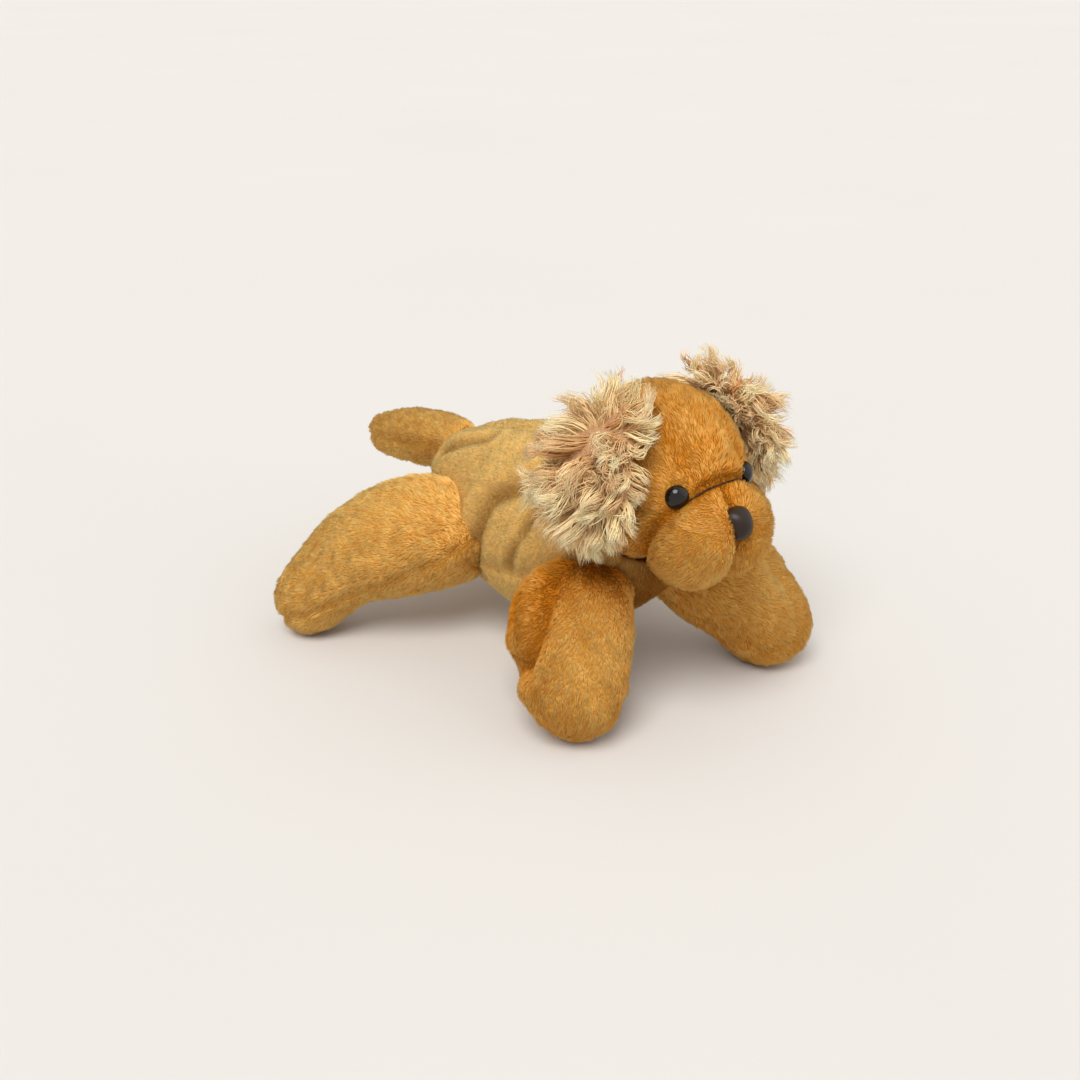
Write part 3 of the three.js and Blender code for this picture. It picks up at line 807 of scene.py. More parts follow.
    def plant(
        self,
        name: str,
        roots: np.ndarray,
        tips: np.ndarray,
        shade: np.ndarray,
        reach: np.ndarray,
        group: np.ndarray,
        rng: np.random.Generator,
    ) -> bpy.types.Object:
        """Set a spike from each root to its tip; the strands of one tuft wave together.

        Args:
            name: The new piece's name.
            roots: Where the strands start.
            tips: Where they end.
            shade: Each strand's tone.
            reach: Each strand's length.
            group: Each strand's tuft.
            rng: The seeded generator.

        Returns:
            The pile's object.
        """
        nap, tufts = self.nap, group.max() + 1
        along, across, faces = self.spike()
        ways = unit(tips - roots)
        first = unit(np.cross(ways, rng.normal(size=(tufts, 3))[group]))
        second = np.cross(ways, first)
        width = nap.width / 2 * rng.uniform(*self.WIDTHS, len(roots))
        spine = roots[:, None] + (tips - roots)[:, None] * along[None, :, None]
        if nap.levels > 1:
            phase = rng.uniform(0, 2 * math.pi, (tufts, 1))[group]
            phase = phase + rng.normal(0, self.PHASE_JITTER, (len(roots), 1))
            pace = rng.uniform(*self.PACES, (tufts, 1))[group]
            swing = nap.curl * reach[:, None] * along[None]
            angle = phase + pace * along[None]
            spine += first[:, None] * (swing * np.cos(angle))[:, :, None]
            spine += second[:, None] * (swing * np.sin(angle))[:, :, None]
            spine[:, :, 2] -= nap.droop * reach[:, None] * along[None] ** 2
        points = (
            spine
            + first[:, None] * (width[:, None] * across[None, :, 0])[:, :, None]
            + second[:, None] * (width[:, None] * across[None, :, 1])[:, :, None]
        )
        points[:, :, 2] = np.maximum(points[:, :, 2], self.FLOOR)
        return self.mesh_of(name, points, along, faces, np.clip(shade, *self.TONES))

    def mesh_of(
        self,
        name: str,
        points: np.ndarray,
        along: np.ndarray,
        faces: np.ndarray,
        shade: np.ndarray,
    ) -> bpy.types.Object:
        """Join the repeated spikes into one mesh with its tones.

        Args:
            name: The new piece's name.
            points: Each strand's corners.
            along: Each corner's share of the strand's length.
            faces: One strand's faces.
            shade: Each strand's tone.

        Returns:
            The pile's object.
        """
        strands, corner_count = points.shape[:2]
        starts = np.arange(strands) * corner_count
        joined = (faces[None] + starts[:, None, None]).reshape(-1, 3)
        mesh = bpy.data.meshes.new(name)
        mesh.vertices.add(strands * corner_count)
        mesh.vertices.foreach_set("co", points.ravel())
        mesh.loops.add(joined.size)
        mesh.loops.foreach_set("vertex_index", joined.ravel())
        mesh.polygons.add(len(joined))
        mesh.polygons.foreach_set("loop_start", np.arange(len(joined)) * 3)
        mesh.update(calc_edges=True)
        tones = mesh.attributes.new(self.ATTRIBUTE, "FLOAT_VECTOR", "POINT")
        values = np.zeros((strands, corner_count, 3), dtype=np.float32)
        values[:, :, 0] = shade[:, None]
        values[:, :, 1] = along[None]
        tones.data.foreach_set("vector", values.ravel())
        # Tone across and root to tip upwards, so every strand shares one small palette in the map.
        edge = self.PALETTE_EDGE
        across = np.repeat(shade, faces.size) + np.tile(np.array([-edge, edge, 0.0]), len(joined))
        up = np.tile(along[faces].ravel(), strands)
        places = np.stack([across, edge + (1 - 2 * edge) * up], axis=1).ravel()
        for layer in ("strand_map", "OFBake"):
            mesh.uv_layers.new(name=layer).data.foreach_set("uv", places)
        mesh.uv_layers["strand_map"].active_render = True
        return new_piece(name, mesh, self.fibre)


@dataclass(frozen=True)
class Plush:
    """One plush cloth: its backing, its pile and the record's slot that it stands for."""

    slot: str
    backing: PlushBacking
    fibre: PileFibre


# Each backing is darker than its pile: painted shade in the gaps between the strands.
GOLDEN = Plush(
    "golden_plush",
    PlushBacking("golden polyester plush backing", "#85500c", "#c48a34"),
    PileFibre("golden polyester plush pile", "#b4620a", "#fca422", "#fcbc50", "#ffe698"),
)
PALE = Plush(
    "pale_plush",
    PlushBacking("pale polyester velour backing", "#7a4a16", "#deac5c", 0.15, 0.15),
    PileFibre("pale polyester velour pile", "#7c4812", "#c08030", "#ffcf76", "#ffe8a0"),
)
SHAGGY = Plush(
    "shaggy_pile",
    PlushBacking("shaggy pile backing", "#9c6c44", "#d8b088"),
    PileFibre("shaggy eyelash pile", "#b87034", "#f8be7c", "#ffdc9c", "#fff6cc", 0.45, 0.2),
)
BLACK_EYE = MouldedPlastic("black polished ABS", "#0b0706", "#140d0a", 0.12, 0.02, 0.2)
BROWN_NOSE = MouldedPlastic("dark brown satin ABS", "#1e130b", "#2c1d12", 0.4, 0.25)
WHITE_WASHER = MouldedPlastic("natural polyethylene", "#e4e1d8", "#efece4", 0.45, 0.2)
DARK_THREAD = SewingThread("dark brown polyester thread", "#2e1808", "#4a2a10")

SHORT = Nap(2.6 * MM, 0.32 * MM, 66, 440, 1.9 * MM, gather=0.3, ruffle=0.35, speckle=0.09)
CLOSE = Nap(1.5 * MM, 0.3 * MM, 60, 450, 1.3 * MM, gather=0.06, ruffle=0.2, speckle=0.05)
FACE = Nap(2.5 * MM, 0.32 * MM, 64, 390, 2.0 * MM, gather=0.3, ruffle=0.3, speckle=0.09)
EYELASH = Nap(
    18 * MM, 0.68 * MM, 47, 130, 3.7 * MM, gather=0.7, ruffle=1.0, unevenness=0.22, speckle=0.24,
    levels=5, droop=0.1, curl=0.2, crown=15 * MM,
)
LINING = Nap(2.6 * MM, 0.4 * MM, 56, 200, 2.0 * MM)


@dataclass(frozen=True)
class Fold:
    """A crease pulled into the cloth: its depth, its width and the line it follows, in millimetres."""

    depth: float
    width: float
    track: tuple[tuple[float, float, float], ...]

    def on(self, side: Side) -> "Fold":
        """Copy the fold, given for the right side, to a side."""
        return Fold(self.depth, self.width, tuple((-side.sign * x, y, z) for x, y, z in self.track))

    def away(self, points: np.ndarray) -> np.ndarray:
        """Measure each point's distance from the fold, as a multiple of the fold's width.

        Args:
            points: The points, in metres.

        Returns:
            One distance per point.
        """
        best = np.full(len(points), np.inf)
        track = np.array(self.track) * MM
        for start, end in zip(track[:-1], track[1:]):
            way = end - start
            t = np.clip((points - start) @ way / (way @ way), 0, 1)
            best = np.minimum(best, np.linalg.norm(points - start - t[:, None] * way, axis=1))
        return best / (self.width * MM)


@dataclass(frozen=True)
class Touch:
    """A place where the filling bulges or the nap is lighter or deeper: lift in millimetres, tone from -1 to
    1, which on the chest and forelegs is painted shade and painted light.
    """

    centre: tuple[float, float, float]
    reach: float
    lift: float = 0.0
    tone: float = 0.0

    def on(self, side: Side) -> "Touch":
        """Copy the touch, given for the right side, to a side."""
        x, y, z = self.centre
        return Touch((-side.sign * x, y, z), self.reach, self.lift, self.tone)

    def weight(self, points: np.ndarray) -> np.ndarray:
        """How much each point feels the touch, from 0 to 1."""
        away = np.linalg.norm(points - np.array(self.centre) * MM, axis=1)
        return np.exp(-((away / (self.reach * MM)) ** 2))


@dataclass
class StuffedForm:
    """A sewn plush form: cloth panels swollen by their filling, with seams where two panels meet.

    The filling's lumps are LUMP_SIZE across and LUMP_LIFT millimetres high. A fold's bank stands BANK_AT fold
    widths off and BANK_LIFT of the fold's depth high. The _TRIM values are how much shorter the nap is in a
    seam or a fold, the _SHADE values how much painted shade deepens its colour there, and TRIMMED is the
    share of it left where another skin rubs.
    """

    LUMP_SIZE = 26 * MM
    LUMP_LIFT = 0.35
    BANK_AT = 2.2
    BANK_LIFT = 0.35
    SEAM_TRIM = 0.25
    FOLD_TRIM = 0.3
    SEAM_SHADE = 0.14
    TRIMMED = 0.15
    RUBBED = 0.5 * MM
    HELD = 0.6
    FLOOR = 0.3 * MM
    PRESSURE = 3000

    name: str
    body: str
    panels: tuple[str, ...]
    filling: tuple[str, ...]
    plush: Plush
    nap: Nap
    seed: int
    sewn_to: str | None = None
    sewn_depth: float = 4 * MM
    sewn_reach: float = 26 * MM
    sink: float = 0.5 * MM
    swell: float = 2.4 * MM
    voxel: float = 3.5 * MM
    softness: int = 4
    seam_depth: float = 0.9 * MM
    seam_width: float = 1.8 * MM
    fill: float = 0.85
    tone: float = 0.5
    folds: tuple[Fold, ...] = ()
    touches: tuple[Touch, ...] = ()
    fold_shade: float = 0.4
    trim: float = 0.0
    skin: bpy.types.Object = field(init=False)
    surface: Surface = field(init=False)
    trees: list[BVHTree] = field(init=False)
    shade: np.ndarray = field(init=False)

    @property
    def nodes(self) -> tuple[str, ...]:
        """Every CAD node that this form stands for."""
        return self.panels + self.filling

    @property
    def whorl(self) -> np.ndarray:
        """The point that the pile is brushed away from: the root of the form."""
        return pivot_of(self.body)

    def blank(self) -> bmesh.types.BMesh:
        """Copy the CAD panels and filling into one merged mesh.

        Returns:
            The new bmesh.
        """
        bm = bmesh.new()
        for name in self.nodes:
            bm.from_mesh(frame["nodes"][name].data)
        bmesh.ops.remove_doubles(bm, verts=bm.verts, dist=WELD)
        return bm

    def cut(self) -> None:
        """Make the slack skin: remeshed, softened and drawn in by the pile and the swelling to come."""
        piece = new_piece(self.name + "_skin", mesh_from(self.blank(), self.name))
        remesh = piece.modifiers.new("even cloth", "REMESH")
        remesh.mode, remesh.voxel_size = "VOXEL", self.voxel
        swap_mesh(piece, settled(piece))
        self.skin = piece
        self.trees = [node_tree(panel) for panel in self.panels]
        before = corners(piece.data)
        bm = bmesh.new()
        bm.from_mesh(piece.data)
        for _ in range(self.softness):
            bmesh.ops.smooth_vert(
                bm, verts=bm.verts, factor=0.5, use_axis_x=True, use_axis_y=True, use_axis_z=True
            )
        bm.to_mesh(piece.data)
        bm.free()
        points, normals = corners(piece.data), corner_normals(piece.data)
        lost = np.mean(np.sum((before - points) * normals, axis=1))
        move_corners(piece.data, points + normals * (lost - self.sink - self.swell / 2))

    def seams(self, points: np.ndarray) -> tuple[np.ndarray, np.ndarray]:
        """Find how far each point is from the nearest seam.

        Args:
            points: Points on the skin.

        Returns:
            The distance from the seam, and the numbers of the two panels that meet there.
        """
        if len(self.trees) == 1:
            return np.full(len(points), np.inf), np.zeros((len(points), 2), dtype=int)
        away = np.array([[tree.find_nearest(p)[3] for p in points] for tree in self.trees])
        rows = np.arange(len(points))
        order = np.argsort(away, axis=0)[:2]
        return away[order[1], rows] - away[order[0], rows], np.sort(order, axis=0).T

    def tie(self) -> None:
        """Hold the seams and set up the filling's pressure."""
        gap, _ = self.seams(corners(self.skin.data))
        held = self.skin.vertex_groups.new(name="seams")
        held.add(np.flatnonzero(gap < self.HELD * self.voxel).tolist(), 1.0, "REPLACE")
        cloth = self.skin.modifiers.new("filling", "CLOTH")
        settings = cloth.settings
        settings.quality = 5
        settings.mass = 0.01
        # At a toy's scale the solver only swells a soft cloth under a strong pressure.
        settings.tension_stiffness = settings.compression_stiffness = 1
        settings.shear_stiffness, settings.bending_stiffness = 1, 0.05
        settings.use_pressure = True
        settings.uniform_pressure_force = self.PRESSURE
        settings.effector_weights.gravity = 0
        settings.vertex_group_mass = held.name
        settings.pin_stiffness = 1
        cloth.collision_settings.use_collision = False
        cloth.point_cache.frame_start, cloth.point_cache.frame_end = 1, Filling.FRAMES

    def take_filling(self) -> float:
        """Keep what the simulation gave, no further than the cap, and drop the modifier.

        Returns:
            The mean movement, in metres.
        """
        before = corners(self.skin.data)
        mesh = settled(self.skin)
        step = corners(mesh) - before
        far = np.linalg.norm(step, axis=1, keepdims=True)
        step *= np.minimum(1, self.swell / np.maximum(far, TINY))
        move_corners(mesh, before + step)
        self.skin.vertex_groups.clear()
        swap_mesh(self.skin, mesh)
        return float(np.linalg.norm(step, axis=1).mean())

    def finish_skin(self) -> None:
        """Subdivide the stuffed skin once, sew its seams in and read it as a surface."""
        rounder = self.skin.modifiers.new("rounder", "SUBSURF")
        rounder.levels = rounder.render_levels = 1
        swap_mesh(self.skin, settled(self.skin))
        mesh = self.skin.data
        points, normals = corners(mesh), corner_normals(mesh)
        gap, pair = self.seams(points)
        depth, width = self.seam_sizes(pair)
        points = points - normals * (depth * np.exp(-((gap / width) ** 2)))[:, None]
        points = self.sculpt(points, normals)
        points[:, 2] = np.maximum(points[:, 2], self.FLOOR)
        move_corners(mesh, points)
        self.surface = Surface.of(mesh)

    def seam_sizes(self, pair: np.ndarray) -> tuple[np.ndarray, np.ndarray]:
        """Say how deep and how wide the seam near each corner is sewn in."""
        return np.full(len(pair), self.seam_depth), np.full(len(pair), self.seam_width)

    def sculpt(self, points: np.ndarray, normals: np.ndarray) -> np.ndarray:
        """Give the skin the unevenness of its filling and press its creases in.

        Args:
            points: The skin's corners.
            normals: Their normals.

        Returns:
            The moved corners.
        """
        lumps = Ripple(self.LUMP_SIZE, self.seed + 7).at(points)
        bulge = self.LUMP_LIFT * lumps + sum(t.lift * t.weight(points) for t in self.touches)
        points = points + normals * (MM * bulge)[:, None]
        self.shade = np.zeros(len(points))
        for fold in self.folds:
            away = fold.away(points)
            valley, bank = np.exp(-(away**2)), np.exp(-((away - self.BANK_AT) ** 2))
            points = points + normals * (fold.depth * MM * (self.BANK_LIFT * bank - valley))[:, None]
            # The valley's weight is where painted shade goes into the crease.
            self.shade = np.maximum(self.shade, valley)
        return points

    def near_seam(self) -> np.ndarray:
        """How near each skin corner is to a seam, from 0 to 1."""
        gap, _ = self.seams(self.surface.points)
        return np.exp(-((gap / self.seam_width) ** 2))

    def lengths(self) -> np.ndarray:
        """Each skin corner's share of the nap's length: shorter in the seams and creases."""
        return (1 - self.SEAM_TRIM * self.near_seam()) * (1 - self.FOLD_TRIM * self.shade)

    def tones(self) -> np.ndarray:
        """Each skin corner's tone, with the touches' tones added and painted shade in the seams and creases.
        """
        brushed = self.tone + sum(t.tone * t.weight(self.surface.points) for t in self.touches)
        # Painted shade in the seams and the creases.
        return brushed - self.SEAM_SHADE * self.near_seam() - self.fold_shade * self.shade

    def attach(self, piece: bpy.types.Object) -> None:
        """Tie a piece to the form's body; a piece of a form sewn to another body only has its transform
        baked.

        Args:
            piece: The skin or a pile.
        """
        if self.sewn_to is None:
            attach(piece, self.body)
            return
        root = Vector(self.whorl)
        way = Vector(node_points(*self.panels).mean(axis=0)) - root
        way.normalize()
        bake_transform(piece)

    def dress(self, neighbours: Iterable["StuffedForm"] = ()) -> None:
        """Give the skin its cloth, grow its pile and attach both.

        Args:
            neighbours: Forms that hide pile inside them.
        """
        self.skin.data.materials.clear()
        self.skin.data.materials.append(Cupboard.material(self.plush.backing))
        tone = self.skin.data.attributes.new(PlushBacking.ATTRIBUTE, "FLOAT", "POINT")
        tone.data.foreach_set("value", np.clip(self.tones(), 0, 1).astype(np.float32))
        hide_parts(*self.nodes)
        piles = self.grow([form.surface for form in neighbours])
        for piece in (self.skin, *piles):
            self.attach(piece)
            log_faces(piece)

    def grow(self, neighbours: list[Surface]) -> list[bpy.types.Object]:
        """Grow the form's pile.

        Args:
            neighbours: Skins that hide pile inside them.

        Returns:
            The pile's objects.
        """
        pile = Pile(self.nap, Cupboard.material(self.plush.fibre), self.seed)
        length = self.lengths() * self.trimming(neighbours)
        return [
            pile.grow(self.name + "_nap", self.surface, self.whorl, length, self.tones(), neighbours)
        ]

    def trimming(self, close: Iterable[Surface]) -> np.ndarray:
        """Trim the nap where another skin rubs on it.

        Args:
            close: The other skins.

        Returns:
            The share of its length that each skin corner's nap keeps.
        """
        share = np.ones(len(self.surface.points))
        if self.trim:
            for other in close:
                gap = -other.depth(self.surface.points)
                left = self.TRIMMED + (1 - self.TRIMMED) * smooth_step(gap, self.RUBBED, self.trim)
                share = np.minimum(share, left)
        return share


Finish = PlushBacking | PileFibre | MouldedPlastic | SewingThread


class Cupboard:
    """Keeps one material for each finish."""

    made: dict[object, bpy.types.Material] = {}

    @classmethod
    def material(cls, finish: Finish) -> bpy.types.Material:
        """Fetch a finish's material, making it the first time.

        Args:
            finish: The finish.

        Returns:
            Its material.
        """
        if finish not in cls.made:
            cls.made[finish] = finish.material()
        return cls.made[finish]


class Filling:
    """Stuffs all the sewn forms at once with Blender's cloth and an inner pressure."""

    FRAMES = 20

    @classmethod
    def stuff(cls, forms: Iterable[StuffedForm]) -> None:
        """Swell the forms between their seams.

        Args:
            forms: The slack forms.
        """
        forms = list(forms)
        for form in forms:
            form.tie()
        scene = bpy.context.scene
        for step in range(1, cls.FRAMES + 1):
            scene.frame_set(step)
        for form in forms:
            LOG.info("%s swelled %.2f mm", form.name, form.take_filling() / MM)
        scene.frame_set(1)


@dataclass
class Torso(StuffedForm):
    """The torso: a sausage of pale plush, creased across its flanks where the forelegs pull at it."""

    skull: tuple[float, float, float] = (33 * MM, 35 * MM, 37 * MM)
    neck_room: float = -0.2 * MM

    @property
    def whorl(self) -> np.ndarray:
        """The pile is brushed back from the head."""
        return pivot_of("head")

    def blank(self) -> bmesh.types.BMesh:
        """Close the limbs' seats: the hull of the torso's panels is its form before they were cut.

        Returns:
            The new bmesh.
        """
        bm = bmesh.new()
        for point in node_points(*self.panels):
            bm.verts.new(point)
        bmesh.ops.remove_doubles(bm, verts=bm.verts, dist=WELD)
        hull = bmesh.ops.convex_hull(bm, input=bm.verts)
        spare = set(hull["geom_interior"] + hull["geom_unused"])
        spare_verts = [part for part in spare if isinstance(part, bmesh.types.BMVert)]
        bmesh.ops.delete(bm, geom=spare_verts, context="VERTS")
        return bm

    def sculpt(self, points: np.ndarray, normals: np.ndarray) -> np.ndarray:
        """Press the creases and make room for the skull.

        Args:
            points: The skin's corners.
            normals: Their normals.

        Returns:
            The moved corners.
        """
        points = super().sculpt(points, normals)
        pivot, room = pivot_of("head"), np.array(self.skull) + self.neck_room
        offset = (points - pivot) / room
        far = np.linalg.norm(offset, axis=1, keepdims=True)
        pushed = pivot + offset / np.maximum(far, TINY) * room
        return np.where(far < 1, pushed, points)

    def grow(self, neighbours: list[Surface]) -> list[bpy.types.Object]:
        """Grow the velour of each half by itself, so that neither piece is too heavy.

        Args:
            neighbours: Skins that hide pile inside them.

        Returns:
            The two halves' piles.
        """
        fibre, tone = Cupboard.material(self.plush.fibre), self.tones()
        length = self.lengths() * self.trimming(neighbours[-1:])
        return [
            Pile(self.nap, fibre, self.seed + 20 * side.sign).grow(
                f"{self.name}_{side.value}_nap", self.surface, self.whorl,
                np.where(self.surface.points[:, 0] * side.sign > 0, length, 0), tone, neighbours,
            )
            for side in Side
        ]


@dataclass
class NeckPad(StuffedForm):
    """The pad of filling that the skull turns on, hidden between head and torso."""

    def grow(self, neighbours: list[Surface]) -> list[bpy.types.Object]:
        """Grow nothing: the pad is bare cloth inside the seam."""
        return []


@dataclass
class Head(StuffedForm):
    """The head: a round skull with a crown gusset and a two-lobed muzzle, parted by sunken seams."""

    TRIMS = (("eye_right", "eye_washer_right"), ("eye_left", "eye_washer_left"), ("nose", "nose_washer"))
    WASHER_MARGIN = 1.5 * MM
    WASHER_ZONE = 9 * MM
    FRONT_POINTS = 12
    SHORTEST = 0.02
    SUNK_TRIM = 0.6
    SUNK_SHADE = 0.45

    bridge_depth: float = 2.0 * MM
    mouth_depth: float = 3.2 * MM
    mouth_width: float = 2.8 * MM
    washer_cover: float = 0.8 * MM
    trim_clear: float = 4.0 * MM
    trim_blend: float = 7.5 * MM

    @property
    def whorl(self) -> np.ndarray:
        """The pile is brushed away from the nose."""
        return node_points("nose").mean(axis=0)

    def seam_kinds(self, pair: np.ndarray) -> tuple[np.ndarray, np.ndarray]:
        """Tell the bridge seam and the mouth seam from the others.

        Args:
            pair: The two panels that meet at each corner's nearest seam.

        Returns:
            Whether it is the bridge, and whether it is the mouth.
        """
        lobes = np.isin(pair, [i for i, p in enumerate(self.panels) if p.startswith("muzzle")])
        return lobes.sum(axis=1) == 1, lobes.sum(axis=1) == 2

    def seam_sizes(self, pair: np.ndarray) -> tuple[np.ndarray, np.ndarray]:
        """Say how deep and how wide each seam is sewn in: the bridge and the mouth are drawn well in.

        Args:
            pair: The two panels that meet at each corner's nearest seam.

        Returns:
            Each corner's seam depth and seam width.
        """
        bridge, mouth = self.seam_kinds(pair)
        depth = np.select([bridge, mouth], [self.bridge_depth, self.mouth_depth], self.seam_depth)
        return depth, np.where(mouth, self.mouth_width, self.seam_width)

    def sculpt(self, points: np.ndarray, normals: np.ndarray) -> np.ndarray:
        """Press the folds in and keep the cloth over the washers.

        Args:
            points: The skin's corners.
            normals: Their normals.

        Returns:
            The moved corners.
        """
        points = super().sculpt(points, normals)
        for trim, washer in self.TRIMS:
            disc = node_points(washer)
            back = disc.mean(axis=0)
            out = unit((node_points(trim).mean(axis=0) - back)[None])[0]
            along = (points - back) @ out
            aside = np.linalg.norm(points - back - along[:, None] * out, axis=1)
            front = ((disc - back) @ out).max() + self.washer_cover
            radius = np.linalg.norm(disc - back, axis=1).max() + self.WASHER_MARGIN
            under = (aside < radius) & (along < front) & (along > front - self.WASHER_ZONE)
            points = points + out * (np.where(under, front - along, 0))[:, None]
        return points

    def sunk(self) -> np.ndarray:
        """Find how near each skin corner is to the bridge or the mouth.

        Returns:
            One number per corner, from 0 to 1.
        """
        gap, pair = self.seams(self.surface.points)
        bridge, mouth = self.seam_kinds(pair)
        return np.where(bridge | mouth, np.exp(-((gap / self.seam_width) ** 2)), 0)

    def lengths(self) -> np.ndarray:
        """Shorten the nap in the sunken seams and round the eyes and the nose.

        Returns:
            Each skin corner's share of the nap's length.
        """
        share = super().lengths() * (1 - self.SUNK_TRIM * self.sunk())
        for name, _ in self.TRIMS:
            spot = node_points(name)
            outermost = np.argsort(spot @ (spot.mean(axis=0) - pivot_of("head")))[-self.FRONT_POINTS :]
            away = np.linalg.norm(self.surface.points - spot[outermost].mean(axis=0), axis=1)
            clear = smooth_step(away, self.trim_clear, self.trim_blend)
            share *= self.SHORTEST + (1 - self.SHORTEST) * clear
        return share

    def tones(self) -> np.ndarray:
        """Each skin corner's tone, with painted shade deep in the sunken seams."""
        return super().tones() - self.SUNK_SHADE * self.sunk()


@dataclass
class Ear(StuffedForm):
    """A drop ear: a flat flap with long shaggy pile outside and a short lining inside.

    The locks part at a place on the outside, PARTING millimetres up and out from the ear's middle, and are
    paler away from it. At the bottom LOWEST of their length is left; towards the face they lose FRONT_TRIM.
    """

    PARTING = (8, 0, 6)
    EDGE = (-1.5 * MM, 0.5 * MM)
    LOWEST = 0.5
    LOW_END = 0.4
    FRONT_TRIM = 0.35
    FRONT_START = 0.55
    PALING = (8 * MM, 24 * MM)
    PARTING_TONE = 0.45
    PALER = 0.45
    LINING_TONE = 0.35
    LINING_EDGE = 0.6

    side: Side = Side.RIGHT

    def grow(self, neighbours: list[Surface]) -> list[bpy.types.Object]:
        """Grow shaggy locks outside and the lining's short nap inside.

        Args:
            neighbours: Skins that hide pile inside them.

        Returns:
            The two piles.
        """
        fibre, points = Cupboard.material(self.plush.fibre), self.surface.points
        outer, lining = self.trees
        outside = np.array([lining.find_nearest(p)[3] - outer.find_nearest(p)[3] for p in points])
        shag = smooth_step(outside, *self.EDGE)
        height = (points[:, 2] - points[:, 2].min()) / np.ptp(points[:, 2])
        front = (points[:, 1].max() - points[:, 1]) / np.ptp(points[:, 1])
        share = shag * (self.LOWEST + (1 - self.LOWEST) * smooth_step(height, 0, self.LOW_END))
        share *= 1 - self.FRONT_TRIM * smooth_step(front, self.FRONT_START, 1)
        across, along, up = self.PARTING
        parting = points.mean(axis=0) + np.array((-self.side.sign * across, along, up)) * MM
        away = np.linalg.norm(points - parting, axis=1)
        tone = self.PARTING_TONE + self.PALER * smooth_step(away, *self.PALING)
        lining_tone = np.full(len(points), self.LINING_TONE)
        return [
            Pile(self.nap, fibre, self.seed).grow(
                self.name + "_shag", self.surface, parting, share, tone
            ),
            Pile(LINING, fibre, self.seed + 11).grow(
                self.name + "_lining_nap", self.surface, self.whorl, 1 - self.LINING_EDGE * shag,
                lining_tone, neighbours,
            ),
        ]


@dataclass
class Trim:
    """A plastic eye or nose on its shank, in place of its CAD node, facing away from its washer."""

    node: str
    washer: str
    plastic: MouldedPlastic
    slot: str
    steps: int = 40
    rim_share: float = 0.6

    def frame_of(self) -> tuple[Vector, Matrix, np.ndarray]:
        """Read the CAD node's place.

        Returns:
            The middle of the trim's back, the turn from its own axes (Z outwards, Y up), and its corners
            about those axes.
        """
        points = node_points(self.node)
        back = node_points(self.washer).mean(axis=0)
        out = Vector(points.mean(axis=0) - back).normalized()
        along = (points - back) @ np.array(out)
        across = np.linalg.norm(points - back - along[:, None] * np.array(out), axis=1)
        rim = along[across > self.rim_share * across.max()].min()
        right = Vector((0, 0, 1)).cross(out).normalized()
        turn = Matrix((right, out.cross(right), out)).transposed()
        origin = Vector(back) + out * rim
        local = (points - np.array(origin)) @ np.array(turn)
        return origin, turn, local

    def model(self, local: np.ndarray) -> bmesh.types.BMesh:
        """Model the trim about its own axes.

        Args:
            local: The CAD node's corners about those axes.

        Returns:
            The new bmesh.
        """
        raise NotImplementedError

    def build(self) -> None:
        """Make the trim, put it in its place and tie it to the head."""
        origin, turn, local = self.frame_of()
        bm = self.model(local)
        bmesh.ops.remove_doubles(bm, verts=bm.verts, dist=WELD)
        bmesh.ops.recalc_face_normals(bm, faces=bm.faces)
        bmesh.ops.transform(bm, matrix=Matrix.Translation(origin) @ turn.to_4x4(), verts=bm.verts)
        plastic = Cupboard.material(self.plastic)
        piece = new_piece(self.node + "_moulding", mesh_from(bm, self.node), plastic)
        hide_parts(self.node)
        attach(piece, "head")
        log_faces(piece)


def turned(profile: list[tuple[float, float]], steps: int) -> bmesh.types.BMesh:
    """Turn a profile about Z.

    Args:
        profile: Radius and height of each point.
        steps: Facets round the axis.

    Returns:
        The new bmesh.
    """
    bm = bmesh.new()
    verts = [bm.verts.new((r, 0, z)) for r, z in profile]
    edges = [bm.edges.new(pair) for pair in zip(verts[:-1], verts[1:])]
    bmesh.ops.spin(
        bm, geom=verts + edges, cent=(0, 0, 0), axis=(0, 0, 1), angle=2 * math.pi,
        steps=steps, use_merge=True,
    )
    return bm


@dataclass
class Eye(Trim):
    """A safety eye: a polished dome with a rolled rim, on a shank."""

    dome_points: int = 12
    shank: float = 0.42
    rim: float = 0.12
    rolled: tuple[tuple[float, float], ...] = ((0.97, 0.02), (0.9, 0.0))

    def model(self, local: np.ndarray) -> bmesh.types.BMesh:
        """Turn the dome, its rim and its shank from one profile.

        Args:
            local: The CAD eye's corners, Z outwards.

        Returns:
            The new bmesh.
        """
        radius, height = np.abs(local[:, 0]).max(), local[:, 2].max()
        shank, foot = self.shank * radius, local[:, 2].min()
        rim = self.rim * height
        dome = [
            (radius * math.cos(a), rim + (height - rim) * math.sin(a))
            for a in np.linspace(math.pi / 2, 0, self.dome_points)
        ]
        rolled = [(across * radius, up * height) for across, up in self.rolled]
        return turned(dome + rolled + [(shank, 0), (shank, foot), (0, foot)], self.steps)


